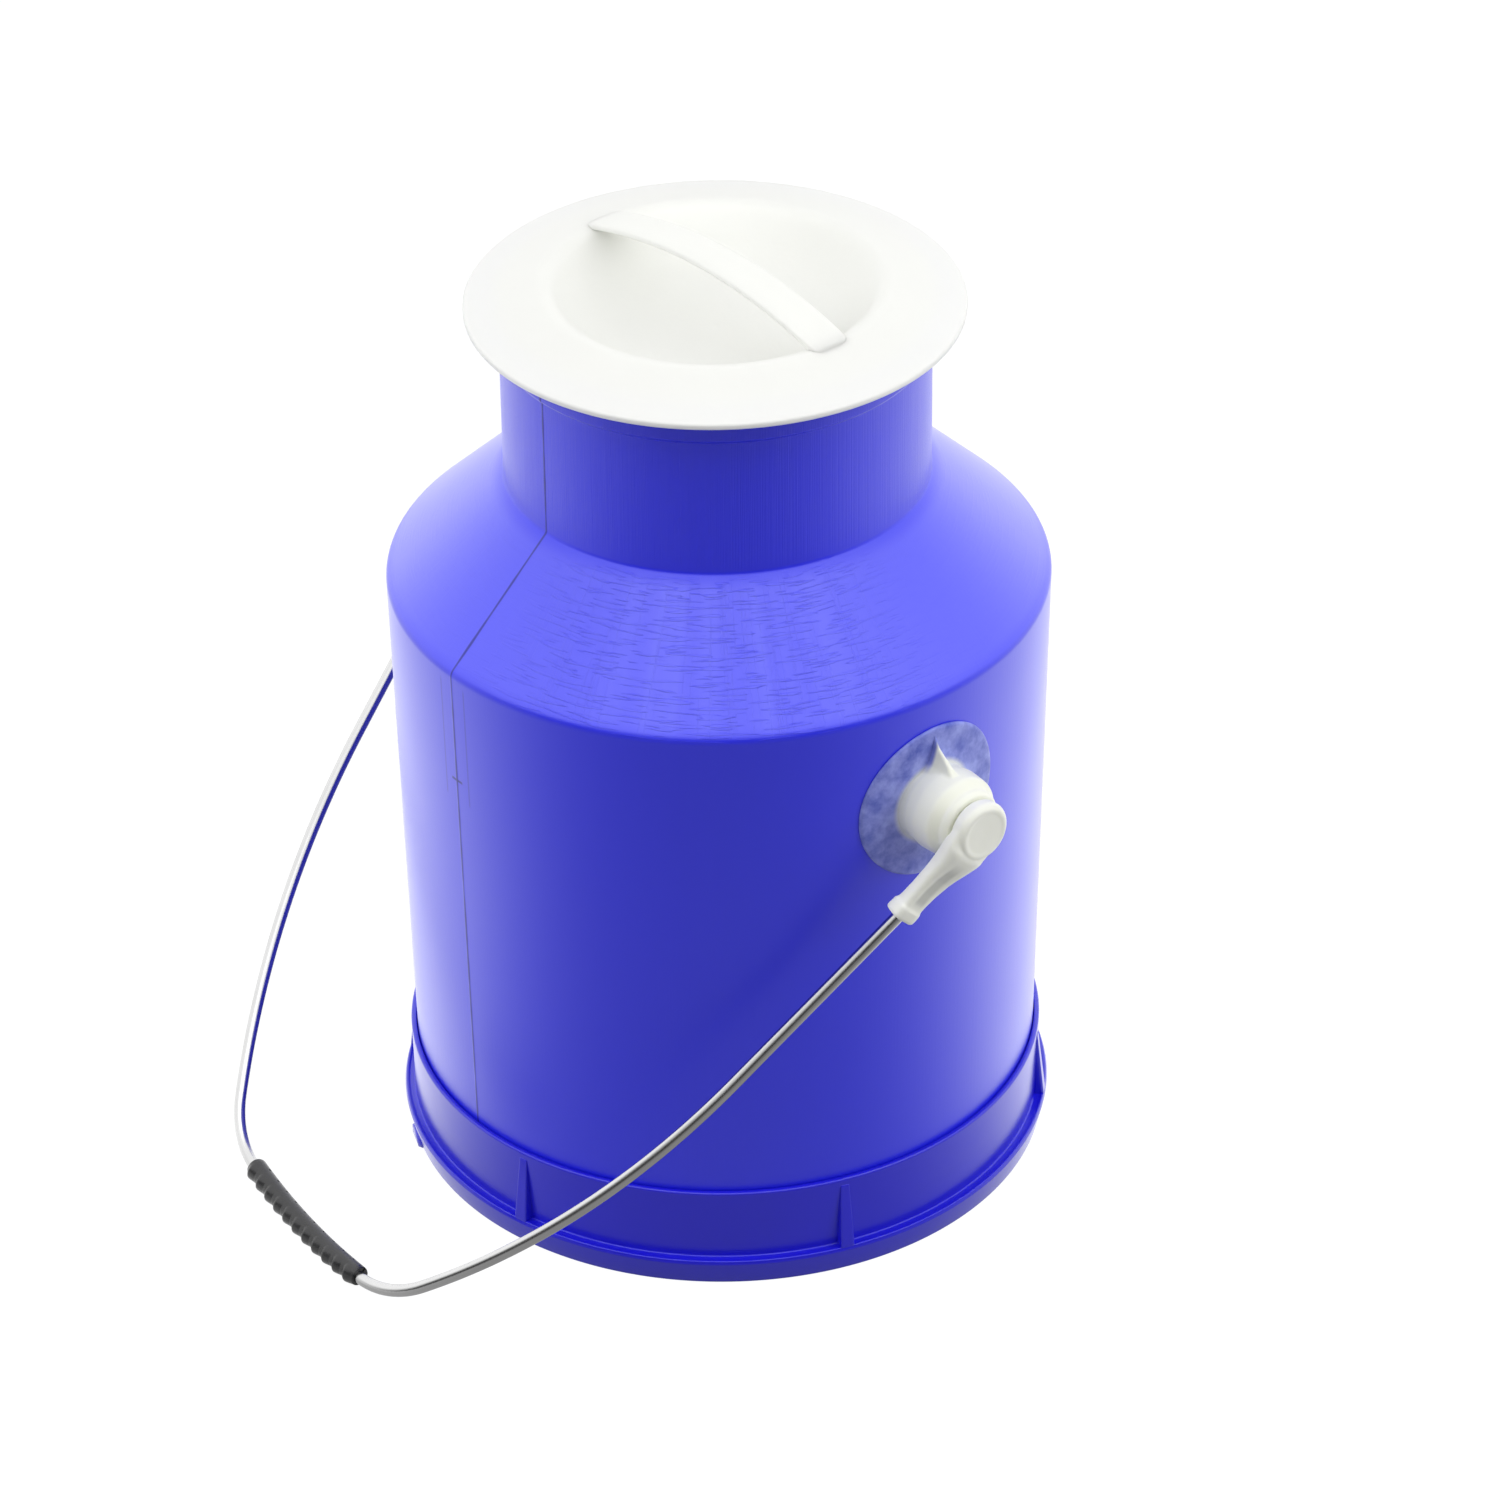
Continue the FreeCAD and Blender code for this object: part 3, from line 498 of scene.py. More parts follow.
def new_object(name, shape, material=None, sharp=40):
    """An object at the origin with smooth faces and sharp creases."""
    mesh = mesh_of(name, shape)
    if material is not None:
        mesh.materials.append(material)
    mesh.shade_smooth()
    mesh.set_sharp_from_angle(angle=math.radians(sharp))
    made = bpy.data.objects.new(name, mesh)
    bpy.context.scene.collection.objects.link(made)
    return made


def applied(made):
    """A shell from an object with its modifiers applied; the object goes away."""
    bpy.context.view_layer.update()
    graph = bpy.context.evaluated_depsgraph_get()
    mesh = bpy.data.meshes.new_from_object(made.evaluated_get(graph))
    bpy.data.objects.remove(made)
    shape = bmesh.new()
    shape.from_mesh(mesh)
    bpy.data.meshes.remove(mesh)
    return shape


def moulded(shape, passes):
    """Welds overlapping shells into one moulding with soft inner corners."""
    rough = new_object("rough", shape)
    weld = rough.modifiers.new("weld", "REMESH")
    weld.mode = "VOXEL"
    weld.voxel_size = WELD_VOXEL
    soften = rough.modifiers.new("soften", "SMOOTH")
    soften.factor = 0.5
    soften.iterations = passes
    return applied(rough)


def fit_for(made, body, slot, *nodes):
    """Puts a piece under the body that it moves with and hides the solids that it stands for; slot,
    its finish, is not used.
    """
    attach(made, body)
    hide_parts(*nodes)


# Geometry trees -----------------------------------------------------------------------------

class Pattern(Tree):
    """A geometry tree with named inputs, which makes copies of a part turned about Z."""

    def __init__(self, name, **inputs):
        super().__init__(bpy.data.node_groups.new(name, "GeometryNodeTree"))
        entry = self.tree.nodes.new("NodeGroupInput")
        self.identifiers = {
            title: self.new_socket(title, "INPUT", kind).identifier
            for title, kind in inputs.items()}
        self.values = {title: Value(self, entry.outputs[title]) for title in inputs}
        self.new_socket("Geometry", "OUTPUT", "Geometry")

    def new_socket(self, title, way, kind):
        return self.tree.interface.new_socket(
            name=title, in_out=way, socket_type=f"NodeSocket{kind}")

    def __getitem__(self, title):
        return self.values[title]

    def position(self):
        return self.parts(self.add("GeometryNodeInputPosition", 0))

    def combine(self, x, y, z):
        return self.add("ShaderNodeCombineXYZ", 0, x, y, z)

    def placed(self, geometry, place):
        return self.add("GeometryNodeSetPosition", 0, geometry, named={"Position": place})

    def index(self):
        return self.add("GeometryNodeInputIndex", 0)

    def end(self, part, turn, material):
        """Sets one copy of the part at each turn about Z."""
        points = self.add("GeometryNodePoints", 0, named={"Count": self["count"]})
        copies = self.add("GeometryNodeInstanceOnPoints", 0, points, named={
            "Instance": part, "Rotation": self.combine(0.0, 0.0, turn)})
        real = self.add("GeometryNodeRealizeInstances", 0, copies)
        dressed = self.add("GeometryNodeSetMaterial", 0, real, named={"Material": material})
        self.output("NodeGroupOutput", dressed)

    def made(self, **values):
        """Runs the tree on an empty mesh and returns the result as a shell."""
        host = bpy.data.objects.new("host", bpy.data.meshes.new("host"))
        bpy.context.scene.collection.objects.link(host)
        modifier = host.modifiers.new("pattern", "NODES")
        modifier.node_group = self.tree
        for title, value in values.items():
            modifier[self.identifiers[title]] = value
        return applied(host)


def gusset_pattern(material):
    """Tapered gussets in a ring: a block shaped by its inputs, turned round the Z axis."""
    tree = Pattern("gussets", count="Int", first="Float", inner="Float", foot="Float",
                   top="Float", foot_width="Float", top_width="Float", low="Float", high="Float")
    block = tree.add("GeometryNodeMeshCube", 0, named={
        "Size": (1, 1, 1), "Vertices X": 4, "Vertices Y": 6, "Vertices Z": 14})
    across, side, up = tree.position()
    rise = up + 0.5
    outer = tree["foot"] + (tree["top"] - tree["foot"]) * rise
    width = tree["foot_width"] + (tree["top_width"] - tree["foot_width"]) * rise
    place = tree.combine(
        tree["inner"] + (across + 0.5) * (outer - tree["inner"]),
        side * width,
        tree["low"] + rise * (tree["high"] - tree["low"]))
    softened = tree.add("GeometryNodeSubdivisionSurface", 0, tree.placed(block, place),
                        named={"Level": 2})
    tree.end(softened, tree["first"] + tree.index() * (2 * math.pi) / tree["count"], material)
    return tree


def rib_pattern(material):
    """Ribs along the grip's bow: short eccentric collars turned about the bow's centre."""
    tree = Pattern("ribs", count="Int", pitch="Float", bow="Float", sleeve="Float",
                   step="Float", share="Float")
    collar = tree.add("GeometryNodeMeshCylinder", 0, named={
        "Vertices": 40, "Side Segments": 10, "Fill Segments": 4, "Radius": 1.0, "Depth": 1.0})
    out, up, along = tree.position()
    # The collar swells quickly at one end and fades at the other, and only on the outer side.
    ahead = along + 0.5
    swell = (ahead * 3.2).limited() * ((1 - ahead) * 1.4).limited()
    outside = (out * 1.2 + 0.75).limited()
    reach = tree["sleeve"] + tree["step"] * ((2.1 * swell - 1.2) * outside - 0.1)
    turn = along * tree["pitch"] * tree["share"]
    radial = tree["bow"] + out * reach
    place = tree.combine(radial * turn.maths("SINE"), radial * turn.maths("COSINE"), up * reach)
    middle = (tree["count"] - 1) / 2
    tree.end(tree.placed(collar, place), (tree.index() - middle) * tree["pitch"], material)
    return tree


# Finishes -----------------------------------------------------------------------------------

def body_plastic(sizes):
    """Blow-moulded polyethylene: soft sheen, mould seam, neck striations, shoulder scratches, and
    painted light on the shoulder: a paler colour with painted sheen streaks.
    """
    shader = Shader("blue body plastic")
    place, (x, y, z) = shader.axes()
    azimuth = y.maths("ARCTAN2", x)
    radius = (x * x + y * y).maths("SQRT")
    around = shader.add("ShaderNodeCombineXYZ", 0, azimuth, z, radius)
    on_shoulder = shader.smooth(z, sizes.shoulder_height - 2 * MM, sizes.shoulder_height + 4 * MM)
    on_shoulder = on_shoulder * shader.fade(z, sizes.neck_height - 5 * MM, sizes.neck_height)
    on_neck = shader.smooth(z, sizes.neck_height, sizes.neck_height + 5 * MM)
    # The seam wavers a little; a faint line stands on either side of it, and one short tick.
    off_seam = abs(x)
    wobble = shader.streaks(place, (0, 0, 60)) - 0.5
    seam = shader.fade(abs(off_seam + wobble * 0.0012), 0.0001, 0.0007)
    beside = shader.smooth(z, 0.177, 0.179) * shader.fade(z, 0.224, 0.227)
    beside = beside * shader.fade(abs(off_seam - sizes.side_mark), 0.0001, 0.0006)
    tick = shader.fade(abs(z - sizes.tick_height), 0.0002, 0.0007)
    tick = tick * shader.fade(off_seam, 0.0025, 0.0032)
    seam = (seam + beside * 0.35 + tick) * shader.smooth(abs(y), 0.03, 0.04)
    # The shoulder is scratched on the side that faces this azimuth, and painted sheen streaks, a
    # painted reflection, lie there too.
    scratch_and_sheen_azimuth = -0.70
    from_scratch_and_sheen = abs(azimuth - scratch_and_sheen_azimuth)
    striations = shader.streaks(around, (260, 6, 0), 3.0)
    dashes = shader.smooth(shader.streaks(around, (8, 1500, 0), 0.5), 0.56, 0.64)
    creases = shader.smooth(shader.streaks(around, (170, 14, 0)), 0.62, 0.70)
    marked = shader.fade(from_scratch_and_sheen, 0.45, 0.85)
    scratches = (dashes + creases * 0.3) * on_shoulder * (marked * 0.9 + 0.1)
    # Painted sheen: paler streaks that stand in for reflections on the shoulder.
    sheen = shader.smooth(shader.streaks(around, (9, 1, 0)), 0.42, 0.68)
    sheen = sheen * on_shoulder * shader.fade(from_scratch_and_sheen, 0.2, 0.7)
    cloud = shader.noise(place, 14.0, 3.0)
    shade = shader.clouded(cloud, sizes.blue, 0.94)
    # Painted light: the whole shoulder is painted paler, the sheen streaks paler still, and the
    # scratches a little paler.
    painted_sheen_and_scratches = on_shoulder * 0.4 + sheen * 0.4 + scratches * 0.1
    shade = shader.mixed(painted_sheen_and_scratches, shade, sizes.painted_sheen_blue)
    shade = shader.mixed((seam * 0.9).limited(), shade, sizes.seam_blue)
    grain = shader.noise(place, 900.0, 2.0)
    relief = striations * (on_neck * 0.6 + 0.1) + scratches * 1.1 + grain * 0.05
    return shader.plastic(shade, 0.36 + (cloud - 0.5) * 0.1 + scratches * 0.06,
                          shader.bump(relief, 0.6, 0.0005),
                          Coat_Weight=(1 - seam.limited()) * (0.65 + on_shoulder * 0.35),
                          Coat_Roughness=0.34, Coat_IOR=PLASTIC_IOR)


def ring_plastic(sizes):
    """Glossy injection-moulded polyethylene with faint flow waves."""
    shader = Shader("blue ring plastic")
    place, _ = shader.axes()
    waves = shader.streaks(place, (18, 18, 40))
    grain = shader.noise(place, 500.0, 2.0)
    return shader.plastic(shader.clouded(waves, sizes.blue, 0.9), 0.24 + waves * 0.12,
                          shader.bump(waves + grain * 0.04, 0.25, 0.0012),
                          Coat_Weight=0.25, Coat_Roughness=0.2, Coat_IOR=PLASTIC_IOR)


def lid_plastic(sizes):
    """Natural polyethylene: warm white, waxy and slightly see-through where it is thin."""
    shader = Shader("white lid plastic")
    place, _ = shader.axes()
    cloud = shader.noise(place, 30.0, 3.0)
    grain = shader.noise(place, 700.0, 2.0)
    return shader.waxy(shader.clouded(cloud, sizes.white, 0.97), 0.42 + (cloud - 0.5) * 0.1,
                       shader.bump(grain + cloud * 0.5, 0.12, 0.0003), 0.4, (4, 4, 4))


def stud_plastic(sizes):
    """Milky boss on a thin mottled disc that the blue wall shows through."""
    shader = Shader("stud plastic")
    place, (x, y, z) = shader.axes()
    rise = z - PIVOT.z
    reach = (y * y + rise * rise).maths("SQRT")
    thin = shader.smooth(reach, 0.0138, 0.0172) * shader.fade(abs(x), 0.1188, 0.1205)
    blotches = shader.noise(place, 130.0, 4.0, 0.6)
    veins = shader.noise(place, 420.0, 2.0)
    halo = shader.fade(reach, 0.015, 0.024)
    mottle = shader.smooth(blotches + (veins - 0.5) * 0.2 + halo * 0.15, 0.15, 0.92)
    film = shader.mixed(mottle, (0.050, 0.080, 0.50), (0.39, 0.44, 0.94))
    return shader.waxy(shader.mixed(thin, sizes.white, film), 0.35 + thin * 0.08,
                       shader.bump(blotches, 0.25, 0.0004), 0.12, (4, 4, 3))


def end_plastic(sizes, slope):
    """Waxy white polyethylene of the bail ends, with painted shade along the thin recess over the
    wire, where the wire also shows through.
    """
    shader = Shader("bail end plastic")
    place, (_, y, z) = shader.axes()
    rise = z - PIVOT.z
    along = y * -math.sin(slope) - rise * math.cos(slope)
    across = abs(y * math.cos(slope) - rise * math.sin(slope))
    # Painted shade in the arm's recess, grey where the wire also shows through the thin plastic.
    thin = shader.smooth(along, 0.013, 0.019) * shader.fade(along, 0.031, 0.035)
    thin = thin * shader.fade(across, 0.0012, 0.0032)
    cloud = shader.noise(place, 120.0, 3.0)
    shade = shader.clouded(cloud, sizes.end_white, 0.93)
    shade = shader.mixed(thin * 0.6, shade, sizes.recess_shade_grey)
    return shader.waxy(shade, 0.36 + (cloud - 0.5) * 0.12,
                       shader.bump(cloud, 0.15, 0.0003), 0.15, (4, 4, 3))


def wire_steel(sizes):
    """Bright drawn steel with fine marks."""
    shader = Shader("drawn steel")
    place, _ = shader.axes()
    marks = shader.noise(place, 900.0, 4.0)
    shade = shader.clouded(shader.noise(place, 60.0, 2.0), sizes.steel, 0.85)
    return shader.finish(shade, 0.16 + marks * 0.1, shader.bump(marks, 0.08, 0.0001), Metallic=1.0)


def grip_plastic(sizes):
    """Black moulded plastic with a dull, slightly uneven skin."""
    shader = Shader("black grip plastic")
    place, _ = shader.axes()
    cloud = shader.noise(place, 160.0, 3.0)
    grain = shader.noise(place, 1800.0, 2.0)
    return shader.plastic(shader.clouded(cloud, sizes.black, 0.6, 1.5), 0.31 + (cloud - 0.5) * 0.2,
                          shader.bump(grain + cloud * 0.6, 0.3, 0.0002))


# Can ----------------------------------------------------------------------------------------

def wall_face(body, height):
    """Radius of the body's tapered wall at a height."""
    slope = (body.wall_radius - body.foot_radius) / (body.shoulder_height - body.foot_height)
    return body.foot_radius + slope * (height - body.foot_height)


class MilkCanOperator:
    """What the operators share"""
    bl_options = {"REGISTER", "UNDO"}


class MILKCAN_OT_make_body(MilkCanOperator, bpy.types.Operator):
    """Make the blue body with its mould seam"""
    bl_idname = "milkcan.make_body"
    bl_label = "Body"

    def execute(self, context):
        sizes = context.scene.milk_can_body
        lip_radius = sizes.neck_radius + sizes.lip_overhang
        lip_foot = sizes.mouth_height - sizes.lip_depth
        floor = sizes.mouth_height - sizes.mouth_depth
        outline = rounded_outline([
            (0.0, sizes.foot_height, 0),
            (sizes.foot_radius, sizes.foot_height, 3 * MM),
            (sizes.wall_radius, sizes.shoulder_height, 4 * MM),
            (sizes.neck_radius, sizes.neck_height, 2 * MM),
            (sizes.neck_radius, lip_foot, 1 * MM),
            (lip_radius, lip_foot + sizes.lip_overhang, 1 * MM),
            (lip_radius, sizes.mouth_height, 0.8 * MM),
            (sizes.mouth_radius, sizes.mouth_height, 0.6 * MM),
            (sizes.mouth_radius, floor, 0.5 * MM),
            (0.0, floor, 0),
        ])
        # Points stand close together at the two seams, and leave a little room beside them.
        seams = (math.pi / 2, 3 * math.pi / 2)
        ridge, spacing, room = (part * MM / sizes.wall_radius for part in (0.8, 0.35, 2.2))
        azimuths = [turn for turn in even_azimuths(AROUND)
                    if all(abs(turn - seam) > room for seam in seams)]
        azimuths += [seam + step * spacing for seam in seams for step in range(-5, 6)]

        def seam_ridge(azimuth, radius, height):
            if radius < sizes.neck_radius - 0.5 * MM or height < sizes.foot_height + 4 * MM:
                return 0.0
            away = min(abs(azimuth - seam) for seam in seams)
            return sizes.seam_height * max(0.0, 1 - away / ridge)

        shape = lathe(divided(outline, 5 * MM), sorted(azimuths), seam_ridge)
        made = new_object("can_wall", shape, body_plastic(sizes), SOFT_EDGE)
        fit_for(made, "can", "blue_body", "can_body")
        return {"FINISHED"}


class MILKCAN_OT_make_foot_ring(MilkCanOperator, bpy.types.Operator):
    """Make the foot ring with its ledge, gussets and tab"""
    bl_idname = "milkcan.make_foot_ring"
    bl_label = "Foot ring"

    def execute(self, context):
        sizes = context.scene.milk_can_ring
        body = context.scene.milk_can_body
        material = ring_plastic(sizes)
        top = RING_TOP
        outer_gap = sizes.gap + sizes.wall
        inner = wall_face(body, sizes.ledge_height) + outer_gap
        outline = rounded_outline([
            (0.0, 0.0, 0),
            (sizes.skirt_radius, 0.0, 0.6 * MM),
            (sizes.ledge_radius, sizes.ledge_height - 1.2 * MM, 0.8 * MM),
            (sizes.ledge_radius - 0.5 * MM, sizes.ledge_height + sizes.bead / 2, 0.5 * MM),
            (sizes.ledge_radius - 1.2 * MM, sizes.ledge_height + sizes.bead / 3, 0.4 * MM),
            (sizes.ledge_radius - 1.9 * MM, sizes.ledge_height, 0.5 * MM),
            (inner, sizes.ledge_height, 0.6 * MM),
            (wall_face(body, top) + outer_gap, top, 0.8 * MM),
            (wall_face(body, top) + sizes.gap, top, 0.4 * MM),
            (wall_face(body, sizes.floor) + sizes.gap, sizes.floor, 0.5 * MM),
            (0.0, sizes.floor, 0),
        ])
        ring = lathe(divided(outline, 8 * MM), even_azimuths(AROUND))
        gussets = gusset_pattern(material).made(
            count=sizes.gussets, first=sizes.first_gusset, inner=inner - sizes.wall / 2,
            foot=sizes.ledge_radius - 0.2 * MM, top=wall_face(body, top) + outer_gap + 0.2 * MM,
            foot_width=sizes.gusset_foot, top_width=sizes.gusset_top,
            low=sizes.ledge_height - 0.8 * MM, high=top - sizes.gusset_drop)
        whole = joined(ring, gussets, self.make_tab(sizes))
        made = new_object("ring", whole, material, SOFT_EDGE)
        fit_for(made, "can", "blue_ring", "foot_ring")
        return {"FINISHED"}

    @staticmethod
    def make_tab(sizes):
        """A small block with rounded corners on the skirt's lower edge."""
        corner = 1.2 * MM
        root = sizes.skirt_radius - 2 * MM
        turn = Matrix.Rotation(sizes.tab_angle, 3, "Z")
        rows = []
        for share, inset in ((0.0, 0.25), (0.12, 0.0), (0.88, 0.0), (1.0, 0.3)):
            half = sizes.tab_width / 2 - inset * MM
            reach = sizes.skirt_radius + sizes.tab_reach - inset * MM
            row = [(root, -half), (reach - corner, -half), (reach, corner - half),
                   (reach, half - corner), (reach - corner, half), (root, half)]
            rows.append([turn @ Vector((out, side, share * sizes.tab_height)) for out, side in row])
        return loft(rows)


class MILKCAN_OT_make_lid(MilkCanOperator, bpy.types.Operator):
    """Make the white lid with its dish and strap"""
    bl_idname = "milkcan.make_lid"
    bl_label = "Lid"

    def execute(self, context):
        sizes = context.scene.milk_can_lid
        body = context.scene.milk_can_body
        rim_top = sizes.rim_foot + sizes.rim_thickness
        crest = sizes.crest_height
        wall = sizes.wall
        outline = rounded_outline([
            (0.0, sizes.dish_height, 0),
            (sizes.dish_radius - 4 * MM, sizes.dish_height + 1.5 * MM, 26 * MM),
            (sizes.crest_radius - 2.5 * MM, crest + 1.5 * MM, 7 * MM),
            (sizes.rim_radius, rim_top, 1.0 * MM),
            (sizes.rim_radius, sizes.rim_foot, 0.8 * MM),
            (sizes.rim_radius - 3 * MM, sizes.rim_foot, 1 * MM),
            (body.neck_radius + 3.5 * MM, body.mouth_height, 1 * MM),
            (sizes.plug_radius, body.mouth_height, 0.4 * MM),
            (sizes.plug_radius, sizes.plug_foot, 0.8 * MM),
            (sizes.plug_radius - sizes.plug_wall, sizes.plug_foot, 0.8 * MM),
            (sizes.plug_radius - sizes.plug_wall, crest - 2 * wall, 1 * MM),
            (sizes.crest_radius, crest - 1.2 * wall, 3 * MM),
            (sizes.dish_radius + wall / 2, sizes.dish_height - 0.5 * wall, 20 * MM),
            (0.0, sizes.dish_height - wall, 0),
        ], 10)
        shell = lathe(divided(outline, 6 * MM), even_azimuths(200))
        whole = joined(shell, self.make_strap(sizes))
        made = new_object("lid_cap", whole, lid_plastic(sizes), SOFT_EDGE)
        fit_for(made, "can", "white_lid", "lid")
        return {"FINISHED"}

    @staticmethod
    def make_strap(sizes):
        """An arched band with rounded edges whose ends sink into the crest."""
        half = sizes.crest_radius + 1.5 * MM
        rise = sizes.strap_top - sizes.strap_thickness - sizes.strap_seat
        radius = (sizes.crest_radius ** 2 + rise ** 2) / (2 * rise)
        centre = sizes.strap_top - sizes.strap_thickness - radius
        reach = math.asin(half / radius)
        turn = Matrix.Rotation(sizes.strap_angle, 3, "Z")
        section = squared_round(24, 0.35, 0.6)
        tip = 0.93  # share of the half length at which the ends begin to narrow
        rows = []
        steps = 48
        for step in range(steps + 1):
            along = -1 + 2 * step / steps
            end = max(0.0, abs(along) - tip) / (1 - tip)
            shrink = math.sqrt(max(0.0, 1 - (0.92 * end) ** 2))
            width = sizes.strap_width / 2 * (0.55 + 0.45 * shrink)
            thick = sizes.strap_thickness * (0.35 + 0.65 * shrink)
            lean = along * reach
            row = []
            for across, up in section:
                out = radius + thick / 2 + up * thick / 2
                row.append(turn @ Vector((
                    out * math.sin(lean), across * width, centre + out * math.cos(lean))))
            rows.append(row)
        return loft(rows)


class MILKCAN_OT_make_studs(MilkCanOperator, bpy.types.Operator):
    """Make the two studs on the wall"""
    bl_idname = "milkcan.make_studs"
    bl_label = "Studs"

    def execute(self, context):
        sizes = context.scene.milk_can_studs
        body = context.scene.milk_can_body
        material = stud_plastic(sizes)
        for name, node, side in (("right", "stud_right", 0), ("left", "stud_left", 180)):
            core = moulded(self.make_core(sizes, body), 14)
            whole = moved(joined(core, self.make_disc(sizes, body)),
                          Matrix.Rotation(math.radians(side), 4, "Z"))
            made = new_object(f"stud_boss_{name}", whole, material, CREASE)
            fit_for(made, "can", "white_stud", node)
        return {"FINISHED"}

    @staticmethod
    def make_disc(sizes, body):
        """A thin round skin wrapped on the tapered wall, thinner towards its edge."""
        def point(reach, turn, lift):
            side = reach * math.cos(turn)
            height = PIVOT.z + reach * math.sin(turn)
            face = wall_face(body, height) + lift
            return Vector((math.sqrt(face ** 2 - side ** 2), side, height))

        back = 0.1 * MM
        # Each section: share of the radius, share of the thickness; then the back.
        sections = [(step / 24, 1.0) for step in range(23)]
        sections += [(0.965, 0.97), (0.99, 0.8), (1.0, 0.45)]
        lifts = [(share, thick * sizes.disc_thickness) for share, thick in sections]
        lifts += [(1.0, back), (0.5, back), (0.0, back)]
        return loft([[point(share * sizes.disc_radius, turn, lift)
                      for turn in even_azimuths(96 if share else 1)] for share, lift in lifts])

    @staticmethod
    def make_core(sizes, body):
        """The boss with its collar and pin about the pivot line, and the fin above it."""
        wall = wall_face(body, PIVOT.z)
        skin = wall + sizes.disc_thickness
        pin_end = sizes.boss_end + 5.2 * MM
        outline = rounded_outline([
            (0.0, wall - 1.5 * MM, 0),
            (sizes.boss_foot + 1.0 * MM, wall - 1.5 * MM, 0),
            (sizes.boss_foot + 1.0 * MM, skin - 0.9 * MM, 0),
            (sizes.boss_foot + 0.4 * MM, skin + 1.2 * MM, 2 * MM),
            (sizes.boss_radius, skin + 7 * MM, 4 * MM),
            (sizes.boss_radius - 0.4 * MM, sizes.boss_end - 6.4 * MM, 3 * MM),
            (sizes.collar_radius + 1.2 * MM, sizes.boss_end - 3.2 * MM, 0.3 * MM),
            (sizes.collar_radius + 1.5 * MM, sizes.boss_end - 2.2 * MM, 0.5 * MM),
            (sizes.collar_radius + 0.3 * MM, sizes.boss_end, 0.8 * MM),
            (sizes.pin_radius, sizes.boss_end, 0.2 * MM),
            (sizes.pin_radius, pin_end, 0.4 * MM),
            (0.0, pin_end, 0),
        ])
        level = Matrix.Translation(PIVOT) @ Matrix.Rotation(math.pi / 2, 4, "Y")
        boss = moved(lathe(outline, even_azimuths(64)), level)
        # The fin is a blade that widens from its sharp tip on the disc down to the boss. Each
        # row: height above the pivot, how far it stands off the disc, half its width.
        tip, crown = sizes.fin_rise / MM, sizes.boss_radius / MM
        rows = []
        for rise, off, half in (
            (tip + 1.5, 0.8, 0.45), (tip - 2.5, 2.8, 0.8), (tip - 5.5, 6.5, 1.3),
            (tip - 8, 9.5, 2.0), (tip - 10.5, 12.0, 3.4), (crown - 4.4, 13.0, 5.4),
            (crown - 8.4, 13.0, 6.0),
        ):
            rows.append([Vector((out, side * half * MM, PIVOT.z + rise * MM)) for out, side in (
                (wall, -1.5), (skin + off * MM, -0.5), (skin + off * MM, 0.5), (wall, 1.5))])
        return joined(boss, loft(rows))


# Bail ---------------------------------------------------------------------------------------

def bail_frame():
    """Turns the bail's own plane, x along the pivot and y towards the bow, to its rest slope."""
    rest = bpy.context.scene.milk_can_bail.rest_angle
    return Matrix.Translation(PIVOT) @ Matrix.Rotation(-math.pi / 2 - rest, 4, "X")


def bow_radius(bail):
    return bail.grip_length / 2 / math.tan(bail.bow_half_turn)


def bow_corner_depth(bail):
    """Depth of the bow's middle corner, so that the grip at rest just touches the ground."""
    reach = (PIVOT.z - bail.grip_radius) / math.cos(bail.rest_angle) - bail.rib_step
    straight = bow_radius(bail) / math.cos(bail.bow_half_turn)
    return (reach - bow_radius(bail)) / math.cos(bail.lean) + straight


def bail_corners(bail, studs):
    """The wire's corners in the bail's plane, from the right pivot to the left one."""
    depth = bow_corner_depth(bail)
    run = bail.grip_length / 2 + bail.elbow_reach
    elbow = (run * math.cos(bail.bow_half_turn), depth - run * math.sin(bail.bow_half_turn))
    hub = studs.head_inner + studs.head_thickness / 2
    bend = (hub - bail.leg_inset, depth - bail.bend_height)
    plain = [bend, elbow, (0.0, depth), (-elbow[0], elbow[1]), (-bend[0], bend[1])]
    lean = Matrix.Rotation(bail.lean, 3, "Z")
    leaning = [lean @ Vector((across, down, 0)) for across, down in plain]
    end = Vector((hub + studs.arm_offset, 0, 0))
    return [end] + leaning + [-end]


def bail_route(bail, studs, first, step):
    """Points along the wire: straight runs joined by arcs, from first past each pivot."""
    corners = bail_corners(bail, studs)
    side = (corners[1] - corners[2]).length
    long_bend = side * bail.bend_share
    reaches = [long_bend, bail.elbow_reach, bail.grip_length / 2, bail.elbow_reach, long_bend]
    points = [corners[0] + (corners[1] - corners[0]).normalized() * first]
    for before, corner, after, reach in zip(corners, corners[1:], corners[2:], reaches):
        half_turn = (corner - before).angle(after - corner) / 2
        radius = reach / math.tan(half_turn)
        parts = max(4, math.ceil(2 * half_turn * radius / step))
        points += arc(before, corner, after, radius, parts)
    points.append(corners[-1] + (corners[-2] - corners[-1]).normalized() * first)
    even = []
    for start, end in zip(points, points[1:]):
        parts = max(1, math.ceil((end - start).length / (4 * step)))
        if (end - start).length > 1e-6:
            even += [start.lerp(end, part / parts) for part in range(parts)]
    return even + [points[-1]]


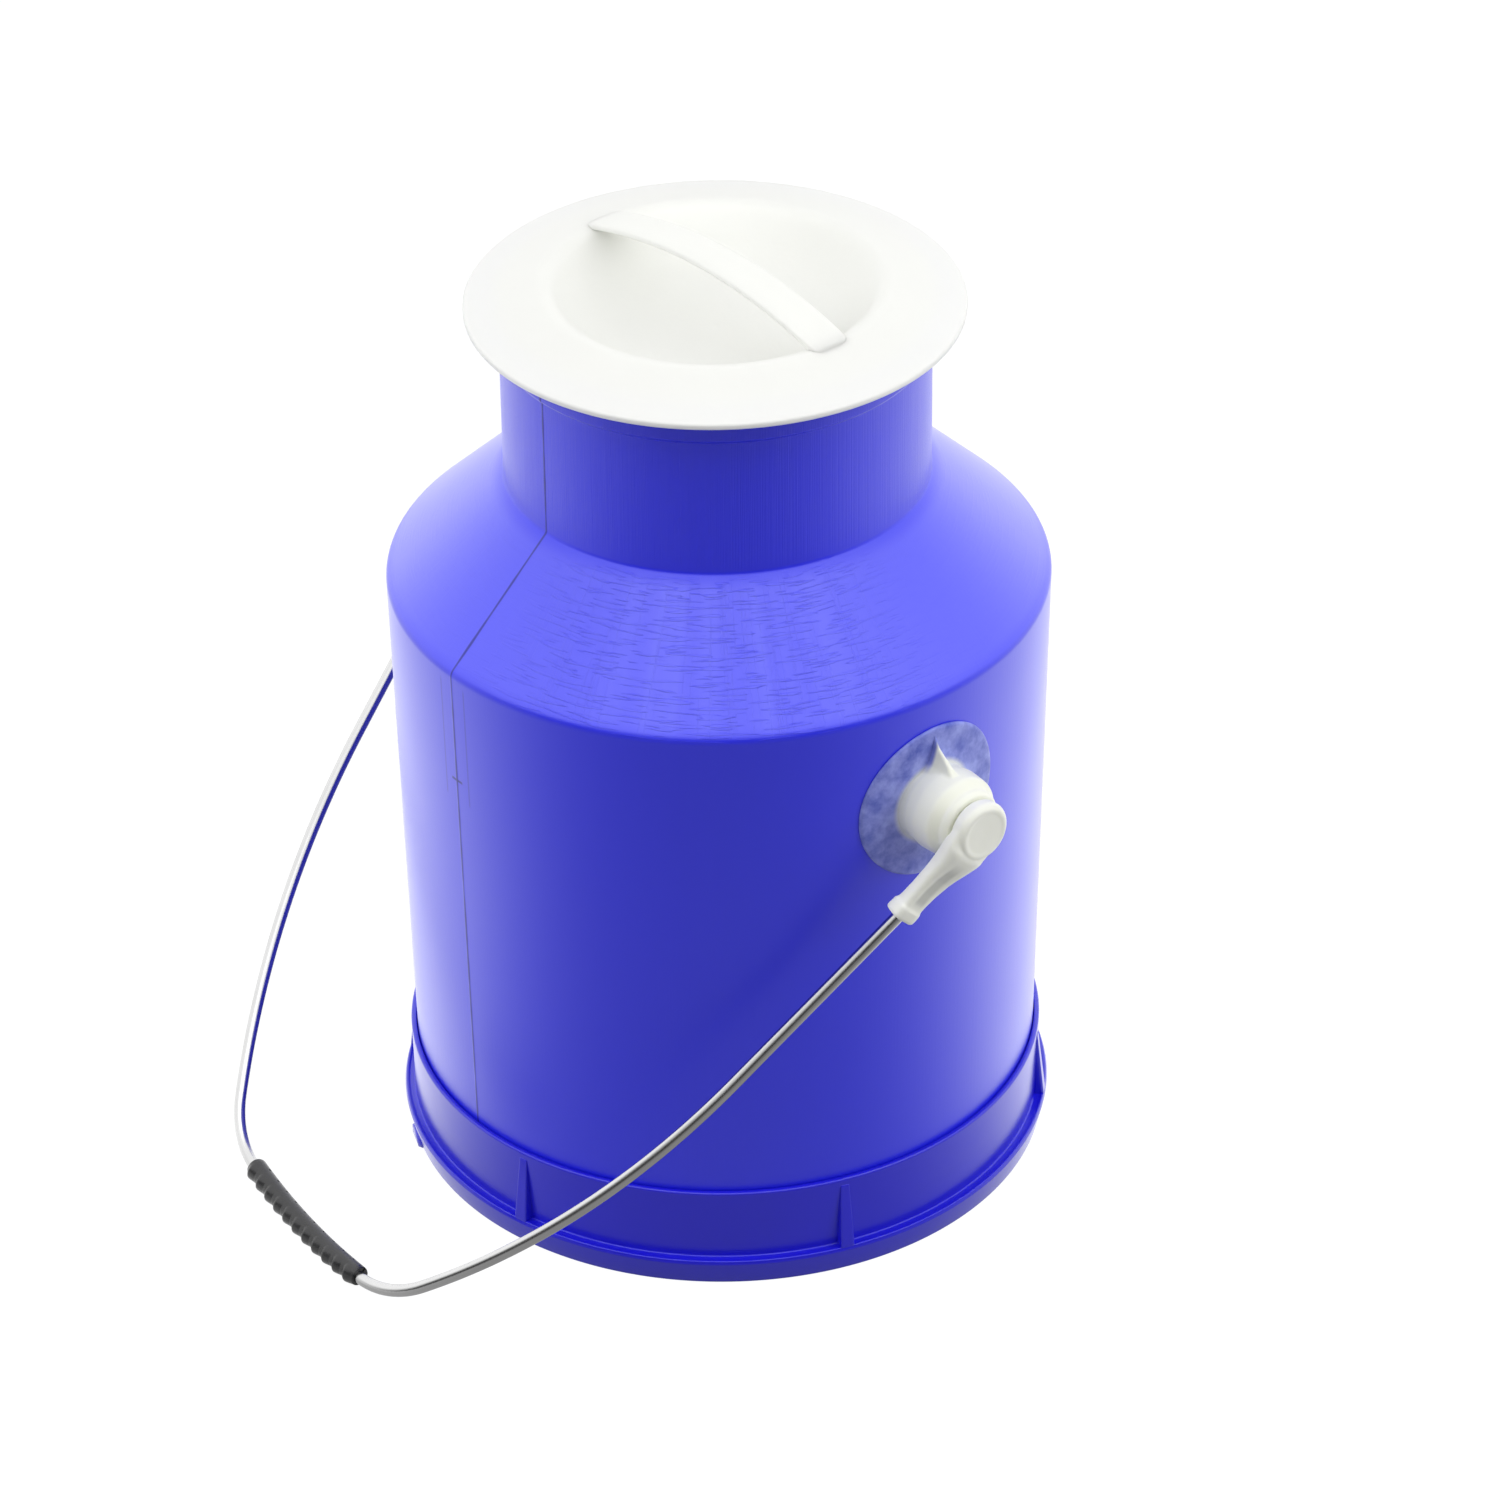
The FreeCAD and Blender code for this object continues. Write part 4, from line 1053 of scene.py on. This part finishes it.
class MILKCAN_OT_make_bail_ends(MilkCanOperator, bpy.types.Operator):
    """Make the two white bail ends"""
    bl_idname = "milkcan.make_bail_ends"
    bl_label = "Bail ends"

    def execute(self, context):
        studs = context.scene.milk_can_studs
        bail = context.scene.milk_can_bail
        material = end_plastic(studs, bail.rest_angle)
        corners = bail_corners(bail, studs)
        for name, node, side, hub, bend in (
            ("right", "bail_end_right", 1, corners[0], corners[1]),
            ("left", "bail_end_left", -1, corners[-1], corners[-2]),
        ):
            way = bend - hub
            lean = math.atan2(-way.x * side, way.y)
            pivot_x = side * (studs.head_inner + studs.head_thickness / 2)
            facing = Matrix.Rotation(0 if side > 0 else math.pi, 4, "Y")
            placed = bail_frame() @ Matrix.Translation((pivot_x, 0, 0)) @ facing
            shape = moved(moulded(self.make_end(studs, lean), 8), placed)
            made = new_object(f"bail_lug_{name}", shape, material, CREASE)
            fit_for(made, "bail", "white_end", node)
        return {"FINISHED"}

    @staticmethod
    def make_end(studs, lean):
        """Head about the pivot, and an arm with a long recess and a collar for the wire."""
        half = studs.head_thickness / 2
        radius = studs.head_radius
        head = lathe(rounded_outline([
            (0.0, -half, 0),
            (radius - 0.2 * MM, -half, 1.2 * MM),
            (radius, 0.4 * half, 2.4 * MM),
            (radius - 1.9 * MM, half, 1.2 * MM),
            (radius - 3.6 * MM, half - 0.45 * MM, 2.0 * MM),
            (0.0, half - 0.6 * MM, 0),
        ]), even_azimuths(72))
        moved(head, Matrix.Rotation(math.pi / 2, 4, "Y"))
        down = Vector((-math.sin(lean), math.cos(lean), 0))
        out = Vector((math.cos(lean), math.sin(lean), 0))
        root = Vector((studs.arm_offset, 0, 0))
        outline = squared_round(36, 0.55, 0.55)
        rows = []
        # Each section, in millimetres: distance from the pivot, half width, half thickness,
        # share of the lean that the outer face makes up for, depth of the recess.
        for along, wide, thick, level, recess in (
            (3.0, 10.4, 2.5, 0.0, 0.0), (8.0, 9.9, 2.8, 0.55, 0.0), (9.5, 9.6, 2.83, 0.75, 0.0),
            (11.0, 9.1, 2.86, 0.70, 0.0), (13.0, 8.4, 2.9, 0.55, 0.1), (16.0, 7.4, 3.0, 0.35, 0.4),
            (19.0, 6.7, 3.0, 0.18, 0.55), (22.0, 6.2, 3.0, 0.07, 0.6), (28.0, 5.5, 3.05, 0.0, 0.5),
            (33.0, 5.1, 3.2, 0.0, 0.25), (35.5, 5.0, 3.5, 0.0, 0.1), (36.6, 5.5, 4.1, 0.0, 0.0),
            (40.2, 5.6, 4.2, 0.0, 0.0), (41.0, 5.2, 3.8, 0.0, 0.0),
        ):
            swell = level * along * max(0.0, math.sin(lean))
            middle = root + down * along * MM
            row = []
            for side, face in outline:
                dip = recess * max(0.0, 1 - (side / 0.62) ** 4) if face > 0 else 0.0
                point = middle + out * (face * thick + max(0.0, face) * swell - dip) * MM
                row.append(point + Vector((0, 0, side * wide * MM)))
            rows.append(row)
        return joined(head, loft(rows))


class MILKCAN_OT_make_wire(MilkCanOperator, bpy.types.Operator):
    """Make the steel wire of the bail"""
    bl_idname = "milkcan.make_wire"
    bl_label = "Wire"

    def execute(self, context):
        studs = context.scene.milk_can_studs
        bail = context.scene.milk_can_bail
        points = bail_route(bail, studs, 19 * MM, 2 * MM)
        shape = moved(tube(points, bail.wire_radius, 28), bail_frame())
        made = new_object("wire_bow", shape, wire_steel(bail), CREASE)
        fit_for(made, "bail", "steel_wire", "bail_wire")
        return {"FINISHED"}


class MILKCAN_OT_make_grip(MilkCanOperator, bpy.types.Operator):
    """Make the black ribbed grip"""
    bl_idname = "milkcan.make_grip"
    bl_label = "Grip"

    def execute(self, context):
        bail = context.scene.milk_can_bail
        material = grip_plastic(bail)
        centre = bow_corner_depth(bail) - bow_radius(bail) / math.cos(bail.bow_half_turn)
        ribs = rib_pattern(material).made(
            count=bail.ribs, pitch=2 * bail.bow_half_turn / bail.ribs, bow=bow_radius(bail),
            sleeve=bail.grip_radius, step=bail.rib_step, share=0.86)
        lean = Matrix.Rotation(bail.lean, 4, "Z")
        placed = bail_frame() @ lean @ Matrix.Translation((0, centre, 0))
        whole = moved(joined(self.make_sleeve(bail), ribs), placed)
        made = new_object("grip_sleeve", whole, material, SOFT_EDGE)
        fit_for(made, "bail", "black_grip", "bail_grip")
        return {"FINISHED"}

    @staticmethod
    def make_sleeve(bail):
        """A bowed sleeve whose section is open on the inner side, along its whole length."""
        slit = 0.18  # half the angle of the opening
        inner = bail.wire_radius + 0.1 * MM
        along, round_steps = 72, 32
        tip = 0.985  # share of the half length at which the ends begin to round
        bow = bow_radius(bail)
        rows = []
        for step in range(along + 1):
            share = -1 + 2 * step / along
            end = max(0.0, abs(share) - tip) / (1 - tip)
            turn = share * bail.bow_half_turn
            row = []
            for number in [*range(round_steps + 1), *range(round_steps, -1, -1)]:
                outside = len(row) <= round_steps
                phase = math.pi + slit + (2 * math.pi - 2 * slit) * number / round_steps
                skin = inner
                if outside:
                    ribbed = min(1.0, max(0.0, 1.2 * math.cos(phase) + 0.75))
                    skin = bail.grip_radius * (1 - 0.06 * end * end) - bail.rib_step * ribbed
                radial = bow + skin * math.cos(phase)
                row.append(Vector((
                    radial * math.sin(turn), radial * math.cos(turn), skin * math.sin(phase))))
            rows.append(row)
        return loft(rows, in_strips=True)


# Stage --------------------------------------------------------------------------------------

class MILKCAN_OT_make_stage(MilkCanOperator, bpy.types.Operator):
    """Make the camera, the floor, the lights and the world"""
    bl_idname = "milkcan.make_stage"
    bl_label = "Stage"

    def execute(self, context):
        studio = context.scene.milk_can_studio
        self.make_camera(context, studio)
        self.make_floor(studio)
        self.make_lights(studio)
        self.make_world(context, studio)
        context.scene.view_settings.view_transform = "Standard"
        return {"FINISHED"}

    @staticmethod
    def make_camera(context, studio):
        data = bpy.data.cameras.new("camera")
        data.sensor_width = 36.0
        data.lens = studio.lens
        data.clip_start = 0.05
        camera = bpy.data.objects.new("camera", data)
        context.scene.collection.objects.link(camera)
        pitch = studio.look_down
        yaw = studio.look_aside
        forward = Vector((math.sin(yaw) * math.cos(pitch), math.cos(yaw) * math.cos(pitch),
                          -math.sin(pitch)))
        right = Vector((math.cos(yaw), -math.sin(yaw), 0))
        down = forward.cross(right)
        cosine, sine = math.cos(studio.roll), math.sin(studio.roll)
        rolled_right = cosine * right + sine * down
        rolled_down = -sine * right + cosine * down
        basis = Matrix((rolled_right, -rolled_down, -forward)).transposed().to_4x4()
        place = Matrix.Translation((0, -studio.distance, studio.height))
        camera.matrix_world = Matrix.Rotation(studio.azimuth, 4, "Z") @ place @ basis
        context.scene.camera = camera

    @staticmethod
    def make_floor(studio):
        """A floor that looks as white as the backdrop and keeps a soft shadow."""
        shader = Shader("white floor")
        seen, glossy = shader.rays()
        backdrop = shader.add("ShaderNodeAddShader", 0,
                              shader.add("ShaderNodeBsdfDiffuse", 0, (0.14, 0.14, 0.14, 1.0)),
                              shader.add("ShaderNodeEmission", 0, WHITE, 0.945))
        # Reflections see the floor dim in front of the can and bright beside and behind it.
        _, (x, y, _) = shader.axes()
        behind = y * math.cos(studio.azimuth) - x * math.sin(studio.azimuth)
        away = (x * x + y * y).maths("SQRT")
        spread = shader.smooth(behind / away, -0.97, 0.05)
        glow = studio.floor_ahead + spread * (studio.floor_behind - studio.floor_ahead)
        glow = glow * (1 - shader.smooth(away, 0.3, 0.55) * 0.3)
        mirrored = shader.add("ShaderNodeEmission", 0, WHITE, glow)
        plain = shader.add("ShaderNodeBsdfDiffuse", 0, (0.5, 0.5, 0.5, 1.0))
        plain = shader.add("ShaderNodeMixShader", 0, glossy, plain, mirrored)
        surface = shader.add("ShaderNodeMixShader", 0, seen, plain, backdrop)
        shader.output("ShaderNodeOutputMaterial", surface)
        half = 4.0
        shape = bmesh.new()
        shape.faces.new([shape.verts.new((x * half, y * half, 0))
                         for x, y in ((-1, -1), (1, -1), (1, 1), (-1, 1))])
        floor = new_object("floor", shape, shader.material)

    @staticmethod
    def make_lights(studio):
        """Soft boxes, placed as the camera sees them: right, towards it and up, in metres."""
        right = Vector((math.cos(studio.azimuth), math.sin(studio.azimuth), 0))
        near = Vector((math.sin(studio.azimuth), -math.cos(studio.azimuth), 0))
        up = Vector((0, 0, 1))
        middle = Vector((0, 0, 0.17))
        for name, (aside, ahead, high), wide, tall, power in (
            ("key", (0.05, 0.34, 1.52), 2.0, 1.2, 7.7),
            ("left", (-1.25, 0.35, 0.72), 0.9, 1.2, 9.8),
            ("right", (1.25, 0.35, 0.72), 0.9, 1.2, 10.8),
        ):
            data = bpy.data.lights.new(name, "AREA")
            data.shape = "RECTANGLE"
            data.size = wide
            data.size_y = tall
            data.energy = power
            lamp = bpy.data.objects.new(name, data)
            lamp.location = middle + right * aside + near * ahead + up * high
            lamp.rotation_euler = (middle - lamp.location).to_track_quat("-Z", "Y").to_euler()
            lamp.visible_camera = False
            lamp.visible_glossy = name == "key"
            bpy.context.scene.collection.objects.link(lamp)

    @staticmethod
    def make_world(context, studio):
        """Light from above; the backdrop is white and the room behind the camera is dark."""
        world = bpy.data.worlds.new("studio")
        world.use_nodes = True
        tree = Tree(world.node_tree)

        def stepped(value, low, high, first, last):
            return tree.add("ShaderNodeMapRange", 0, value, low, high, first, last, clamp=True)

        seen, glossy = tree.rays()
        way = tree.add("ShaderNodeTexCoord", "Generated")
        high = tree.parts(way)[2]
        near = (math.sin(studio.azimuth), -math.cos(studio.azimuth), 0.0)
        facing = tree.add("ShaderNodeVectorMath", "Value", way, near, operation="DOT_PRODUCT")
        room = stepped(facing, -0.2, 0.3, 0.0, 0.95) * stepped(high, 0.35, 0.6, 1.0, 0.0)
        mirrored = (1 - room) * 1.7
        shed = stepped(high, 0.2, 0.9, 0.06, 0.56)
        strength = seen + (1 - seen) * (glossy * mirrored + (1 - glossy) * shed)
        background = tree.add("ShaderNodeBackground", 0, WHITE, strength)
        tree.output("ShaderNodeOutputWorld", background)
        context.scene.world = world


class MILKCAN_PT_pieces(bpy.types.Panel):
    """Buttons for the can's pieces"""
    bl_label = "Milk can"
    bl_idname = "MILKCAN_PT_pieces"
    bl_space_type = "VIEW_3D"
    bl_region_type = "UI"
    bl_category = "Milk can"

    def draw(self, context):
        for operator in OPERATORS:
            self.layout.operator(operator.bl_idname)


OPERATORS = (
    MILKCAN_OT_make_stage,
    MILKCAN_OT_make_body,
    MILKCAN_OT_make_foot_ring,
    MILKCAN_OT_make_lid,
    MILKCAN_OT_make_studs,
    MILKCAN_OT_make_bail_ends,
    MILKCAN_OT_make_wire,
    MILKCAN_OT_make_grip,
)


def register():
    for group in GROUPS.values():
        bpy.utils.register_class(group)
    for name, group in GROUPS.items():
        setattr(bpy.types.Scene, name, bpy.props.PointerProperty(type=group))
    for operator in OPERATORS:
        bpy.utils.register_class(operator)
    bpy.utils.register_class(MILKCAN_PT_pieces)


def unregister():
    bpy.utils.unregister_class(MILKCAN_PT_pieces)
    for operator in reversed(OPERATORS):
        bpy.utils.unregister_class(operator)
    for name, group in reversed(GROUPS.items()):
        delattr(bpy.types.Scene, name)
        bpy.utils.unregister_class(group)


def main():
    register()
    bpy.ops.milkcan.make_stage()
    bpy.ops.milkcan.make_body()
    bpy.ops.milkcan.make_foot_ring()
    bpy.ops.milkcan.make_lid()
    bpy.ops.milkcan.make_studs()
    bpy.ops.milkcan.make_bail_ends()
    bpy.ops.milkcan.make_wire()
    bpy.ops.milkcan.make_grip()


if __name__ == "__main__":
    main()
